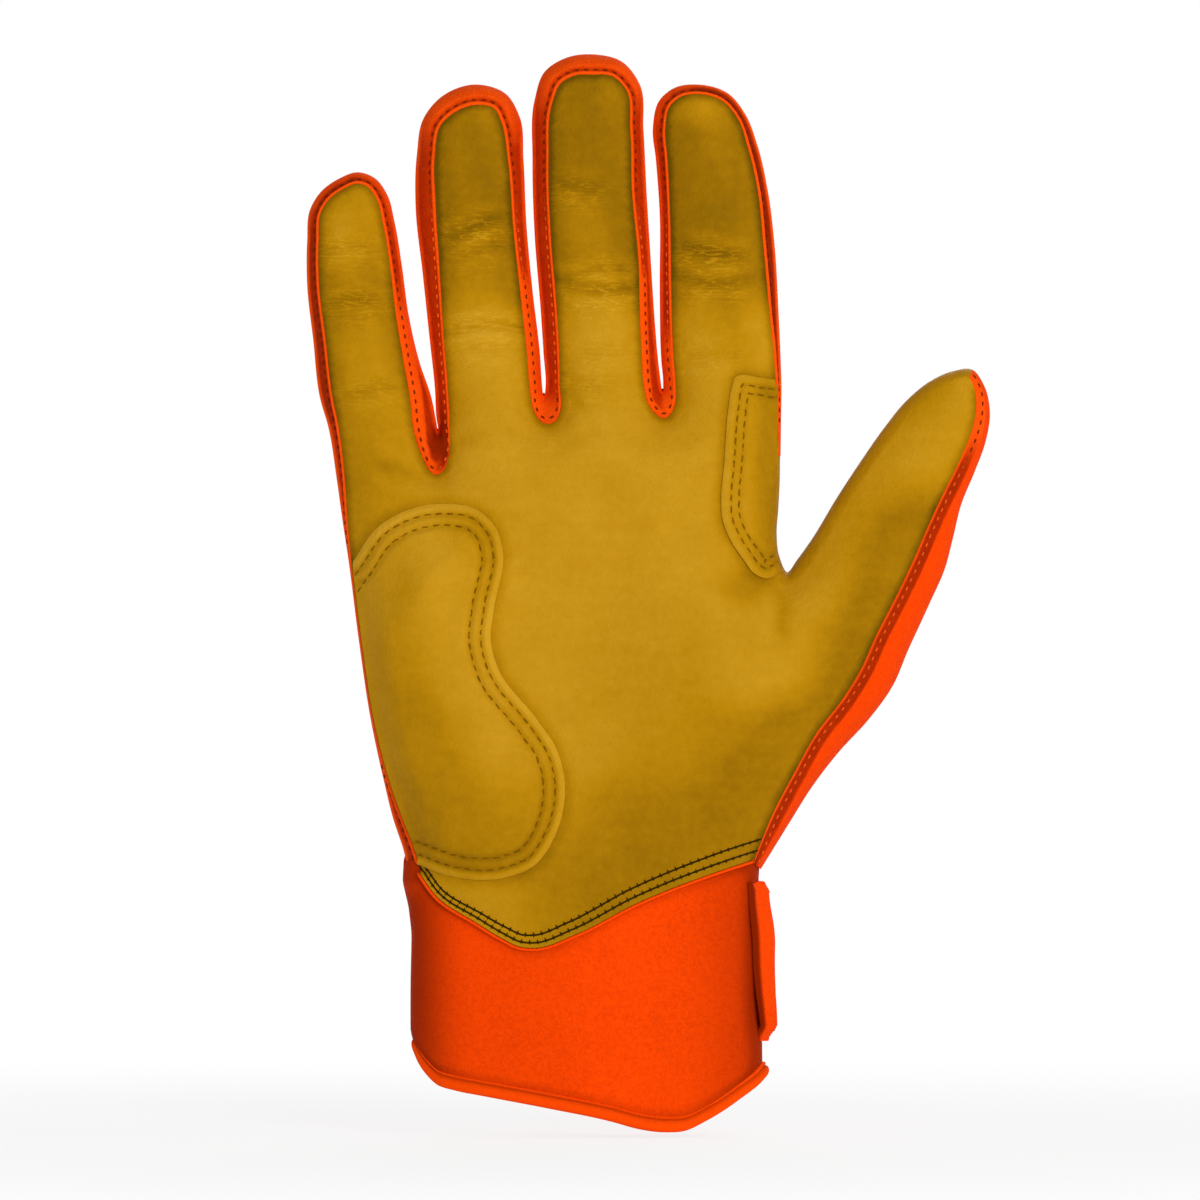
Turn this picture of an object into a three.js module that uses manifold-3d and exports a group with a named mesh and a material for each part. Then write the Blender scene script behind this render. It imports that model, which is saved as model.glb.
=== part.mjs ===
// A right-hand batting glove: leather palm, stitched side bands, stretch back, cuff and wrist strap.
// Millimetres. +Z runs from the cuff to the fingertips, the palm faces -Y and the thumb is on the +X side.
// The origin is the middle of the wrist opening, level with the lowest point of the hem.

import * as THREE from 'three';
import { mergeVertices } from 'three/addons/utils/BufferGeometryUtils.js';
import loadManifold from 'manifold-3d';

// Walls and clearances
const SKIN_WALL = 1.4;
const CUFF_WALL = 2.6;
const SEAM_GAP = 0.3;

// Overlays, padding and bindings
const HEEL_PAD_THICKNESS = 2.0;
const HEEL_PAD_BORDER = 6.0;
const HEEL_PAD_CROWN = 1.2;
const HEEL_FOAM_THICKNESS = 3.0;
const HEEL_FOAM_MARGIN = 6.0;
const WEB_PATCH_THICKNESS = 1.2;
const BACK_BAND = 2.0;
const THUMB_STRIP_WIDTH = 2.2;
const THUMB_STRIP_LOW = 84;
const THUMB_BAND_SHORT_OF_TIP = 6;
const HEM_HEIGHT = 3.6;
const HEM_PROUD = 0.6;
const ELASTIC_THICKNESS = 1.2;
const ELASTIC_FROM = 24;
const ELASTIC_TO = 36;
const VENT_CLOTH_THICKNESS = 0.9;
const VENT_CLOTH_MARGIN = 4.0;

// Wrist strap, from the cuff outwards: loop pad, hook pad, strap, label patch
const LOOP_PAD_THICKNESS = 1.2;
const HOOK_PAD_THICKNESS = 1.0;
const STRAP_THICKNESS = 1.8;
const STRAP_BOTTOM = 21;
const STRAP_TOP = 58;
const STRAP_FREE_END = -36;
const STRAP_END_RADIUS = 9;
const STRAP_ROOT_Y = 2;
const STRAP_ANCHOR_REACH = 7;
const PAD_MARGIN = 4;
const PAD_LENGTH = 20;
const PATCH_WIDTH = 24;
const PATCH_HEIGHT = 14;
const PATCH_THICKNESS = 1.0;

// Cuff and palm form: level, thumb side and little-finger side edges, and thickness from palm to back
const HAND_SECTIONS = [
  { z: -6, left: -40.6, right: 40.2, depth: 30 },
  { z: 25, left: -41.2, right: 40.5, depth: 30 },
  { z: 50, left: -41.8, right: 40.0, depth: 29 },
  { z: 66, left: -44.0, right: 40.6, depth: 28 },
  { z: 86, left: -49.3, right: 42.2, depth: 28 },
  { z: 110, left: -53.4, right: 43.6, depth: 28 },
  { z: 135, left: -56.4, right: 44.5, depth: 26 },
  { z: 152, left: -58.9, right: 44.6, depth: 22 },
  { z: 171, left: -60.2, right: 44.4, depth: 18 },
];

// The knuckle line is level up to the ring finger and falls from there to the little finger
const KNUCKLE_FALL_FROM = -10;
const KNUCKLE_SLOPE = 0.33;

// Seams that run across the hand
const PALM_HEM = [
  [41, 63.2], [32.6, 61.4], [10.7, 53], [-3.5, 45.8], [-12.8, 42.8], [-26.3, 48.6], [-41.5, 60.7],
];
const CUFF_EDGE = [[-41, 18.5], [-36.5, 11], [-17.7, 7.2], [1, 3], [19, 0], [32, 5.5], [41, 15]];
const BACK_SEAM = 63;
const VENT_MIDDLE = -6;
const VENT_TOP_WIDTH = 1.4;
const VENT_BOTTOM_WIDTH = 7;

// Leather's lowest point in each fork, from little finger to index, and how much higher the back goes there
const FORKS = [[-35.8, 153], [-10, 164.7], [17.2, 165.6]];
const FORK_RISE = 3;

// Each digit: root, where it bends; upper, where its tip begins; tip, its highest point; how far below
// the tip each side begins to round; and how much side band shows in front at the root, top and tip.
const LITTLE = {
  root: { x: -49.2, z: 166, width: 24.4, depth: 16.6 },
  upper: { x: -55.4, z: 210, width: 20.8, depth: 14 },
  tip: { x: -53.8, z: 222.4 },
  shoulder: { left: 12, right: 14 },
  band: { left: [2.4, 2.3], right: [3.2, 2.4], tip: 2.9 },
};
const RING = {
  root: { x: -24.1, z: 174.5, width: 24.4, depth: 17 },
  upper: { x: -28, z: 230, width: 23.6, depth: 15 },
  tip: { x: -26.5, z: 243 },
  shoulder: { left: 12, right: 10 },
  band: { left: [3.3, 4.2], right: [3.2, 2.7], tip: 4.7 },
};
const MIDDLE = {
  root: { x: 2.55, z: 175, width: 26.1, depth: 17.4 },
  upper: { x: -0.7, z: 238, width: 24.6, depth: 15 },
  tip: { x: 0.5, z: 250 },
  shoulder: { left: 12, right: 11 },
  band: { left: [3.6, 3.4], right: [4, 2.4], tip: 4.9 },
};
const INDEX = {
  root: { x: 30.6, z: 178, width: 27.6, depth: 17.4 },
  upper: { x: 27, z: 230, width: 23.8, depth: 15 },
  tip: { x: 24.2, z: 243.3 },
  shoulder: { left: 10, right: 22 },
  band: { left: [2.9, 2.4], right: [1.6, 2.6], tip: 2.6 },
};
const FINGER_HEEL = [{ drop: 22, inset: 5 }, { drop: 9, inset: 1.2 }];
const TIP_DOME = 9;

// The thumb lies in the plane of the palm, turned out by its tilt; its sizes are along its own axis
const THUMB_TILT = THREE.MathUtils.degToRad(27);
const THUMB = {
  root: { x: -1.1, z: 139, width: 32.4, depth: 20 },
  upper: { x: -1.9, z: 178, width: 22.4, depth: 16 },
  tip: { x: -1.5, z: 198.1 },
  shoulder: { left: 24, right: 15 },
  band: { left: [-3, -3], right: [7.6, 3.6], tip: 1.0 },
};
const THUMB_HEEL = [
  { z: 79, left: -26, right: 8.2, depth: 17 },
  { z: 94, left: -26, right: 9, depth: 19 },
  { z: 108, left: -26, right: 12, depth: 21 },
  { z: 121, left: -24, right: 15.6, depth: 21 },
];
const THUMB_LEATHER_LINE = [[7.7, 152], [7.7, 128], [5.2, 107.6], [4.6, 91], [5, 76]];
const CROTCH = { x: 46, z: 131 };

// Heel pad and web patch outlines; their outer sides follow the edge of the hand
const HEEL_PAD = [
  [-55.1, 132.4], [-49.1, 140.5], [-41.9, 144.5], [-33.5, 145.8], [-26.3, 144.5], [-21.6, 139.8],
  [-20.2, 134.9], [-22.3, 121.2], [-23, 114.2], [-21.6, 108.4], [-12.1, 95.6], [-7.9, 89.3],
  [-6, 82.8], [-8.6, 67.9], [-12.8, 62.1], [-19.3, 59.3], [-33.5, 59.8], [-39.8, 62],
];
const WEB_PATCH = [
  [43, 174.7], [34.9, 175.2], [33, 173], [31.6, 161.2], [30, 149.1], [30.7, 141.6], [34, 136.1],
  [38.1, 131.4], [44.6, 131],
];

// Smoothness of the forms, and a distance that reaches past the glove on every side
const HAND_FACETS = 28;
const FINGER_FACETS = 14;
const SECTION_POWER = 2.3;
const DIGIT_LEVELS = [0, 0.5, 1];
const TIP_LEVELS = [0.35, 0.58, 0.76, 0.89, 0.97];
const HEM_STEPS = 14;
const THUMB_LINE_STEPS = 8;
const HEEL_PAD_STEPS = 32;
const WEB_PATCH_STEPS = 18;
const ARC_STEPS = 6;
const MERGE_DISTANCE = 1e-5;
const OUTSIDE = 80;

const wasm = await loadManifold();
wasm.setup();

// Turns a closed geometry into a solid that can be joined and cut
function solid(geometry) {
  geometry.deleteAttribute('normal');
  geometry.deleteAttribute('uv');
  const merged = mergeVertices(geometry, MERGE_DISTANCE);
  const vertProperties = Float32Array.from(merged.attributes.position.array);
  const triVerts = Uint32Array.from(merged.index.array);
  return new wasm.Manifold(new wasm.Mesh({ numProp: 3, vertProperties, triVerts }));
}

function geometryOf(body) {
  const mesh = body.getMesh();
  const geometry = new THREE.BufferGeometry();
  geometry.setAttribute('position', new THREE.BufferAttribute(mesh.vertProperties, 3));
  geometry.setIndex(new THREE.BufferAttribute(mesh.triVerts, 1));
  geometry.computeVertexNormals();
  return geometry;
}

// A closed skin through rings of equal, even count, ordered upwards, each ring anticlockwise seen from above.
// The end caps are strips from front to back, so a sloping end stays straight across.
function loft(rings) {
  const count = rings[0].length;
  const points = rings.flat();
  const index = [];
  for (let r = 0; r + 1 < rings.length; r += 1) {
    for (let i = 0; i < count; i += 1) {
      const a = r * count + i;
      const b = r * count + ((i + 1) % count);
      index.push(a, b, b + count, a, b + count, a + count);
    }
  }
  const last = points.length - count;
  for (let i = 0; i < count / 2; i += 1) {
    const strip = [i, i + 1, count - i - 1, (count - i) % count];
    for (const [a, b, c] of [[strip[0], strip[1], strip[2]], [strip[0], strip[2], strip[3]]]) {
      if (a !== b && b !== c && c !== a) {
        index.push(c, b, a, last + a, last + b, last + c);
      }
    }
  }
  const geometry = new THREE.BufferGeometry().setFromPoints(points);
  geometry.setIndex(index);
  return geometry;
}

// An upright section, rounder than a box and squarer than an ellipse
function ring({ z, left, right, depth, slope = 0 }, grow, facets) {
  const middle = (left + right) / 2;
  const half = (right - left) / 2 + grow;
  const thick = depth / 2 + grow;
  const power = 2 / SECTION_POWER;
  return Array.from({ length: facets }, (_, i) => {
    const angle = (i / facets) * 2 * Math.PI;
    const along = Math.cos(angle);
    const across = Math.sin(angle);
    const x = middle + half * Math.sign(along) * Math.abs(along) ** power;
    const y = thick * Math.sign(across) * Math.abs(across) ** power;
    return new THREE.Vector3(x, y, z + slope * Math.min(x - KNUCKLE_FALL_FROM, 0));
  });
}

// Cuff and palm in one smooth form, grown outwards or, with a negative growth, drawn inwards
function handForm(grow) {
  const top = HAND_SECTIONS.at(-1);
  const bottom = HAND_SECTIONS[0];
  const open = { ...bottom, z: bottom.z - Math.max(-grow, 0) };
  const levels = [open, ...HAND_SECTIONS.slice(1, -1), { ...top, z: top.z + grow, slope: KNUCKLE_SLOPE }];
  return solid(loft(levels.map((level) => ring(level, grow, HAND_FACETS))));
}

// 1 along the straight part, then down a quarter ellipse to 0 at the end of the reach
function roundOff(past, reach) {
  const t = Math.min(Math.max(past / reach, 0), 1);
  return Math.sqrt(1 - t * t);
}

// A digit's section at a level: straight between root and upper, rounded towards the tip
function digitSection({ root, upper, tip, shoulder }, z) {
  const { lerp } = THREE.MathUtils;
  const t = (z - root.z) / (upper.z - root.z);
  const middle = lerp(root.x, upper.x, t);
  const half = lerp(root.width, upper.width, t) / 2;
  const left = tip.x + (middle - half - tip.x) * roundOff(z - tip.z + shoulder.left, shoulder.left);
  const right = tip.x + (middle + half - tip.x) * roundOff(z - tip.z + shoulder.right, shoulder.right);
  const depth = lerp(root.depth, upper.depth, t) * roundOff(z - tip.z + TIP_DOME, TIP_DOME);
  return { z, left, right, depth };
}

// Levels from the root to just under the tip, closer together where the tip rounds
function digitLevels({ root, tip, shoulder }) {
  const rounding = Math.max(shoulder.left, shoulder.right);
  const start = tip.z - rounding;
  const straight = DIGIT_LEVELS.map((t) => THREE.MathUtils.lerp(root.z, start, t));
  const rounded = TIP_LEVELS.map((t) => start + rounding * t);
  return [...straight, ...rounded];
}

function digitForm(digit, heel, grow) {
  const shrunk = { ...digit, tip: { ...digit.tip, z: digit.tip.z + grow } };
  const sections = digitLevels(shrunk).map((z) => digitSection(shrunk, z));
  return loft([...heel, ...sections].map((level) => ring(level, grow, FINGER_FACETS)));
}

function fingerForm(finger, grow) {
  const { x, z, width, depth } = finger.root;
  const heel = FINGER_HEEL.map(({ drop, inset }) => {
    const half = width / 2 - inset;
    return { z: z - drop, left: x - half, right: x + half, depth };
  });
  return solid(digitForm(finger, heel, grow));
}

function thumbForm(grow) {
  return solid(digitForm(THUMB, THUMB_HEEL, grow).rotateY(THUMB_TILT));
}

// A flat outline, given as across and up, made solid from one depth to another
function prism(outline, from, to, turn = 0) {
  const shape = new THREE.Shape(outline.map(([x, z]) => new THREE.Vector2(x, z)));
  const geometry = new THREE.ExtrudeGeometry(shape, { depth: to - from, bevelEnabled: false });
  return solid(geometry.rotateX(Math.PI / 2).translate(0, to, 0).rotateY(turn));
}

const FRONT = [-OUTSIDE, -SEAM_GAP / 2];
const BACK = [SEAM_GAP / 2, OUTSIDE];
const THROUGH = [-OUTSIDE, OUTSIDE];

function between(from, to) {
  return [[-2 * OUTSIDE, from], [2 * OUTSIDE, from], [2 * OUTSIDE, to], [-2 * OUTSIDE, to]];
}

function above(z, turn = 0) {
  return prism(between(z, z + 4 * OUTSIDE), ...THROUGH, turn);
}

function below(z, turn = 0) {
  return prism(between(z - 4 * OUTSIDE, z), ...THROUGH, turn);
}

// A smooth line through a few points
function smooth(points, steps) {
  const curve = new THREE.SplineCurve(points.map(([x, z]) => new THREE.Vector2(x, z)));
  return curve.getPoints(steps).map((p) => [p.x, p.y]);
}

function shifted(points, dx, dz) {
  return points.map(([x, z]) => [x + dx, z + dz]);
}

// The part of a digit inside its side band, as a digit of its own
function insideBand(digit, band, grow) {
  const narrow = ({ x, width, ...rest }, end) => ({
    ...rest,
    x: x + (band.left[end] - band.right[end]) / 2,
    width: width - band.left[end] - band.right[end] + 2 * grow,
  });
  const tip = { ...digit.tip, z: digit.tip.z - band.tip + grow };
  return { ...digit, root: narrow(digit.root, 0), upper: narrow(digit.upper, 1), tip };
}

function digitOutline(digit, from) {
  const levels = [from, ...digitLevels(digit)].map((z) => digitSection(digit, z));
  const leftSide = levels.map(({ z, left }) => [left, z]);
  const rightSide = levels.map(({ z, right }) => [right, z]).reverse();
  return [...leftSide, [digit.tip.x, digit.tip.z], ...rightSide];
}

const evenBand = (width) => ({ left: [width, width], right: [width, width], tip: width });

const FINGERS = { little: LITTLE, ring: RING, middle: MIDDLE, index: INDEX };
const fingerList = Object.values(FINGERS);
const forkLevel = Math.min(...FORKS.map(([, z]) => z)) - FINGER_HEEL.at(-1).drop;

function fingerPatterns(bandOf, grow, reach) {
  return fingerList.map((finger) => {
    const panel = insideBand(finger, bandOf(finger), grow);
    return prism(digitOutline(panel, forkLevel), ...reach);
  });
}

const joined = (bodies) => bodies.reduce((sum, body) => sum.add(body));

// The palm leather's pattern: palm, finger fronts and thumb front, with the thumb's edge moved out by a strip
function palmPattern(grow, strip, reach) {
  const seam = shifted(THUMB_LEATHER_LINE, grow + strip, 0);
  const turned = seam.map(([v, u]) => {
    const point = new THREE.Vector3(v, 0, u).applyAxisAngle(new THREE.Vector3(0, 1, 0), THUMB_TILT);
    return [point.x, point.z];
  });
  const hem = shifted(smooth(PALM_HEM, HEM_STEPS), 0, -grow);
  const hemRight = hem[0];
  const hemLeft = hem.at(-1);
  const outline = [
    [-OUTSIDE, hemLeft[1]], [-OUTSIDE, FORKS[0][1] + grow], ...shifted(FORKS, 0, grow),
    [CROTCH.x + grow, FORKS[2][1] + grow], [CROTCH.x + OUTSIDE / 2, CROTCH.z + OUTSIDE / 2],
    ...smooth(turned, THUMB_LINE_STEPS), [turned.at(-1)[0] + strip, hemRight[1]], ...hem,
  ];
  const fronts = fingerPatterns((finger) => finger.band, grow, reach);
  return joined([prism(outline, ...reach), ...fronts]);
}

function backPattern(grow, reach) {
  const outline = [
    [-OUTSIDE, BACK_SEAM - grow], [-OUTSIDE, FORKS[0][1] + FORK_RISE + grow],
    ...shifted(FORKS, 0, FORK_RISE + grow), [CROTCH.x + grow, FORKS[2][1] + FORK_RISE + grow],
    [CROTCH.x + grow, CROTCH.z], [PALM_HEM[1][0] + grow, BACK_SEAM - grow],
  ];
  const backs = fingerPatterns(() => evenBand(BACK_BAND), grow, reach);
  return joined([prism(outline, ...reach), ...backs]);
}

// The hollow skin of the hand, open where each digit bends, and the same for each digit above its bend
const halfGap = SEAM_GAP / 2;
const handOuter = joined([
  handForm(0),
  ...fingerList.map((finger) => fingerForm(finger, 0).intersect(below(finger.root.z - halfGap))),
  thumbForm(0).intersect(below(THUMB.root.z - halfGap, THUMB_TILT)),
]);
const handHollow = joined([
  handForm(-SKIN_WALL),
  ...fingerList.map((finger) => fingerForm(finger, -SKIN_WALL)),
  thumbForm(-SKIN_WALL),
]);
const handSkin = handOuter.subtract(handHollow);
const digitSkin = (form, digit, turn = 0) =>
  form(0).subtract(form(-SKIN_WALL)).intersect(above(digit.root.z + halfGap, turn));

const pieces = {};

// Palm side of the hand
pieces.palm_leather = handSkin.intersect(palmPattern(0, 0, FRONT));
const stripLine = smooth(THUMB_LEATHER_LINE, THUMB_LINE_STEPS);
const stripOutline = [
  ...shifted(stripLine, SEAM_GAP, 0),
  ...shifted(stripLine, SEAM_GAP + THUMB_STRIP_WIDTH, 0).reverse(),
];
pieces.thumb_seam_strip = handSkin
  .intersect(prism(stripOutline, ...FRONT, THUMB_TILT))
  .intersect(above(THUMB_STRIP_LOW, THUMB_TILT));

// Fork gussets: what lies between the palm leather and the back in each fork
const sewnFront = palmPattern(SEAM_GAP, THUMB_STRIP_WIDTH + SEAM_GAP, [-OUTSIDE, halfGap]);
const sewnBack = backPattern(SEAM_GAP, [-halfGap, OUTSIDE]);
const gussetSkin = handSkin.subtract(sewnFront).subtract(sewnBack);
const fingerNames = Object.keys(FINGERS);
FORKS.forEach(([, z], i) => {
  const fork = [fingerList[i].root.x, fingerList[i + 1].root.x];
  const zone = [[fork[0], z], [fork[1], z], [fork[1], z + OUTSIDE], [fork[0], z + OUTSIDE]];
  const name = `crotch_gusset_${fingerNames[i]}_${fingerNames[i + 1]}`;
  pieces[name] = gussetSkin.intersect(prism(zone, ...THROUGH));
});

// Back of the hand, and the panel that goes round the outside of the thumb's root
const thumbZone = [
  [CROTCH.x + SEAM_GAP, CROTCH.z], [PALM_HEM[1][0] + SEAM_GAP, BACK_SEAM], [2 * OUTSIDE, BACK_SEAM],
  [2 * OUTSIDE, 3 * OUTSIDE], [CROTCH.x + SEAM_GAP, 3 * OUTSIDE],
];
pieces.back_panel = handSkin.intersect(backPattern(0, BACK));
pieces.thumb_base_panel = handSkin.intersect(prism(thumbZone, ...THROUGH)).subtract(sewnFront);

// Four fingers: leather front, stretch back, and a band up one side, over the tip and down the other
for (const [name, finger] of Object.entries(FINGERS)) {
  const skin = digitSkin((grow) => fingerForm(finger, grow), finger);
  const panel = (band, grow, reach) =>
    prism(digitOutline(insideBand(finger, band, grow), forkLevel), ...reach);
  const front = (grow, reach) => panel(finger.band, grow, reach);
  const rear = (grow, reach) => panel(evenBand(BACK_BAND), grow, reach);
  pieces[`${name}_front`] = skin.intersect(front(0, FRONT));
  pieces[`${name}_back`] = skin.intersect(rear(0, BACK));
  pieces[`${name}_side_band`] = skin
    .subtract(front(SEAM_GAP, [-OUTSIDE, 0]))
    .subtract(rear(SEAM_GAP, [0, OUTSIDE]));
}

// Thumb: its leather wraps the inner side, and the back wraps round the outer side up to the stitched band
const thumbSkin = digitSkin(thumbForm, THUMB, THUMB_TILT);
const thumbFront = (grow, strip, reach) => {
  const band = { ...THUMB.band, right: THUMB.band.right.map((width) => width - 2 * strip) };
  const panel = insideBand(THUMB, { ...band, tip: band.tip - strip }, grow);
  return prism(digitOutline(panel, THUMB_HEEL[0].z), ...reach, THUMB_TILT);
};
pieces.thumb_front = thumbSkin.intersect(thumbFront(0, 0, FRONT));
pieces.thumb_side_band = thumbSkin
  .intersect(thumbFront(0, THUMB_STRIP_WIDTH / 2 + SEAM_GAP / 2, FRONT))
  .subtract(thumbFront(SEAM_GAP, 0, THROUGH))
  .intersect(below(THUMB.tip.z - THUMB_BAND_SHORT_OF_TIP, THUMB_TILT));
pieces.thumb_back = thumbSkin
  .subtract(thumbFront(SEAM_GAP, THUMB_STRIP_WIDTH / 2 + SEAM_GAP / 2, [-OUTSIDE, halfGap]));

// A layer that lies over the hand's form, or under it where both distances are negative
const handLayer = (near, far) => handForm(Math.max(near, far)).subtract(handForm(Math.min(near, far)));

// Heel pad, its raised middle and the foam inside the palm behind it
const heelLine = smooth(HEEL_PAD, HEEL_PAD_STEPS);
const heelBox = new THREE.Box2().setFromPoints(heelLine.map(([x, z]) => new THREE.Vector2(x, z)));
function heelOutline(margin) {
  const middle = heelBox.getCenter(new THREE.Vector2());
  const size = heelBox.getSize(new THREE.Vector2());
  const keepX = 1 - (2 * margin) / size.x;
  const keepZ = 1 - (2 * margin) / size.y;
  return heelLine.map(([x, z]) => [middle.x + (x - middle.x) * keepX, middle.y + (z - middle.y) * keepZ]);
}
const heelEdge = [[-OUTSIDE, heelLine.at(-1)[1]], [-OUTSIDE, heelLine[0][1]], ...heelLine];
const heelReach = [-OUTSIDE, -SKIN_WALL];
const heelBase = handLayer(SEAM_GAP, SEAM_GAP + HEEL_PAD_THICKNESS - HEEL_PAD_CROWN)
  .intersect(prism(heelEdge, ...heelReach));
const heelCrown = handLayer(SEAM_GAP, SEAM_GAP + HEEL_PAD_THICKNESS)
  .intersect(prism(heelOutline(HEEL_PAD_BORDER), ...heelReach));
pieces.heel_pad = heelBase.add(heelCrown);
const foamTop = -SKIN_WALL - SEAM_GAP;
pieces.heel_foam = handLayer(foamTop, foamTop - HEEL_FOAM_THICKNESS)
  .intersect(prism(heelOutline(HEEL_FOAM_MARGIN), -OUTSIDE, -HEEL_FOAM_THICKNESS));

// Wear patch between index finger and thumb
const webForm = (grow) =>
  handForm(grow).add(fingerForm(INDEX, grow)).intersect(below(INDEX.root.z - halfGap));
const webLine = smooth(WEB_PATCH, WEB_PATCH_STEPS);
const webOutline = [[OUTSIDE, webLine.at(-1)[1]], [OUTSIDE, webLine[0][1]], ...webLine];
pieces.web_patch = webForm(SEAM_GAP + WEB_PATCH_THICKNESS)
  .subtract(webForm(SEAM_GAP))
  .intersect(prism(webOutline, -OUTSIDE, -SKIN_WALL))
  .intersect(prism(between(CROTCH.z, INDEX.root.z), ...THROUGH));

// Cuff: front, two halves of the back with the vent slit between them, and the binding along the lower edge
const cuffSkin = handForm(0).subtract(handForm(-CUFF_WALL));
const cuffEdge = smooth(CUFF_EDGE, HEM_STEPS);
const edgeFrom = (rise) => [
  [-OUTSIDE, CUFF_EDGE[0][1] + rise], ...shifted(cuffEdge, 0, rise), [OUTSIDE, CUFF_EDGE.at(-1)[1] + rise],
];
const cuffBottom = edgeFrom(HEM_HEIGHT + SEAM_GAP);
const hemLine = shifted(smooth(PALM_HEM, HEM_STEPS), 0, -SEAM_GAP);
const frontTop = [[OUTSIDE, hemLine[0][1]], ...hemLine, [-OUTSIDE, hemLine.at(-1)[1]]];
const backTop = [[OUTSIDE, BACK_SEAM - SEAM_GAP], [-OUTSIDE, BACK_SEAM - SEAM_GAP]];
const slitBottom = HAND_SECTIONS[0].z - VENT_CLOTH_MARGIN;
function slitOutline(grow) {
  const low = VENT_BOTTOM_WIDTH / 2 + grow;
  const high = VENT_TOP_WIDTH / 2 + grow;
  return [
    [VENT_MIDDLE - low, slitBottom], [VENT_MIDDLE + low, slitBottom],
    [VENT_MIDDLE + high, BACK_SEAM], [VENT_MIDDLE - high, BACK_SEAM],
  ];
}
const slit = prism(slitOutline(0), 0, OUTSIDE);
const cuffBack = cuffSkin.intersect(prism([...cuffBottom, ...backTop], ...BACK)).subtract(slit);
const sideOfVent = (sign) => {
  const edges = [VENT_MIDDLE, sign * 2 * OUTSIDE].sort((a, b) => a - b);
  return [[edges[0], -OUTSIDE], [edges[1], -OUTSIDE], [edges[1], 2 * OUTSIDE], [edges[0], 2 * OUTSIDE]];
};
pieces.cuff_front = cuffSkin.intersect(prism([...cuffBottom, ...frontTop], ...FRONT));
pieces.cuff_back_thumb_side = cuffBack.intersect(prism(sideOfVent(1), ...THROUGH));
pieces.cuff_back_little_side = cuffBack.intersect(prism(sideOfVent(-1), ...THROUGH));
pieces.cuff_hem = handLayer(HEM_PROUD, -CUFF_WALL - HEM_PROUD)
  .intersect(prism([...edgeFrom(0), ...edgeFrom(HEM_HEIGHT).reverse()], ...THROUGH))
  .subtract(slit);

// Inside the cuff: the elastic at the front and the thin cloth behind the vent slit
const insideCuff = -CUFF_WALL - SEAM_GAP;
pieces.wrist_elastic = handLayer(insideCuff, insideCuff - ELASTIC_THICKNESS)
  .intersect(prism(between(ELASTIC_FROM, ELASTIC_TO), -OUTSIDE, -CUFF_WALL));
const ventTop = BACK_SEAM - VENT_CLOTH_MARGIN;
const ventBottom = ELASTIC_FROM;
pieces.vent_gusset = handLayer(insideCuff, insideCuff - VENT_CLOTH_THICKNESS)
  .intersect(prism(slitOutline(VENT_CLOTH_MARGIN), CUFF_WALL, OUTSIDE))
  .intersect(prism(between(ventBottom, ventTop), ...THROUGH));

// Wrist strap: loop pad on the cuff, hook pad on the strap, the sewn root, the strap and its bare label patch
const loopOut = SEAM_GAP + LOOP_PAD_THICKNESS;
const hookIn = loopOut + SEAM_GAP;
const hookOut = hookIn + HOOK_PAD_THICKNESS;
const strapIn = hookOut + SEAM_GAP;
const strapOut = strapIn + STRAP_THICKNESS;
function roundedEnd(endX, bottom, top, radius) {
  const shape = new THREE.Path();
  shape.moveTo(OUTSIDE, bottom);
  shape.lineTo(endX + radius, bottom);
  shape.absarc(endX + radius, bottom + radius, radius, -Math.PI / 2, -Math.PI, true);
  shape.absarc(endX + radius, top - radius, radius, Math.PI, Math.PI / 2, true);
  shape.lineTo(OUTSIDE, top);
  return shape.getPoints(ARC_STEPS).map((p) => [p.x, p.y]);
}
const padZone = (margin) => {
  const left = STRAP_FREE_END + margin;
  const right = left + PAD_LENGTH;
  const low = STRAP_BOTTOM + margin;
  const high = STRAP_TOP - margin;
  return prism([[left, low], [right, low], [right, high], [left, high]], STRAP_ROOT_Y, OUTSIDE);
};
const strapZone = (from, to) =>
  prism(roundedEnd(STRAP_FREE_END, STRAP_BOTTOM, STRAP_TOP, STRAP_END_RADIUS), from, to);
const thumbSide = prism([[0, 0], [OUTSIDE, 0], [OUTSIDE, OUTSIDE], [0, OUTSIDE]], ...THROUGH);
pieces.loop_pad = handLayer(SEAM_GAP, loopOut).intersect(padZone(PAD_MARGIN));
pieces.hook_pad = handLayer(hookIn, hookOut).intersect(padZone(PAD_MARGIN + SEAM_GAP));
pieces.strap_anchor = handLayer(SEAM_GAP, strapOut)
  .intersect(strapZone(STRAP_ROOT_Y - STRAP_ANCHOR_REACH, STRAP_ROOT_Y - SEAM_GAP))
  .intersect(thumbSide);
pieces.strap = handLayer(strapIn, strapOut).intersect(strapZone(STRAP_ROOT_Y, OUTSIDE));
const patchLow = (STRAP_BOTTOM + STRAP_TOP - PATCH_HEIGHT) / 2;
const patchFace = HAND_SECTIONS[1].depth / 2 + strapOut + SEAM_GAP + PATCH_THICKNESS;
const patchBox = [
  [-PATCH_WIDTH / 2, patchLow], [PATCH_WIDTH / 2, patchLow],
  [PATCH_WIDTH / 2, patchLow + PATCH_HEIGHT], [-PATCH_WIDTH / 2, patchLow + PATCH_HEIGHT],
];
pieces.strap_patch = prism(patchBox, 0, patchFace).subtract(handForm(strapOut + SEAM_GAP));

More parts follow.
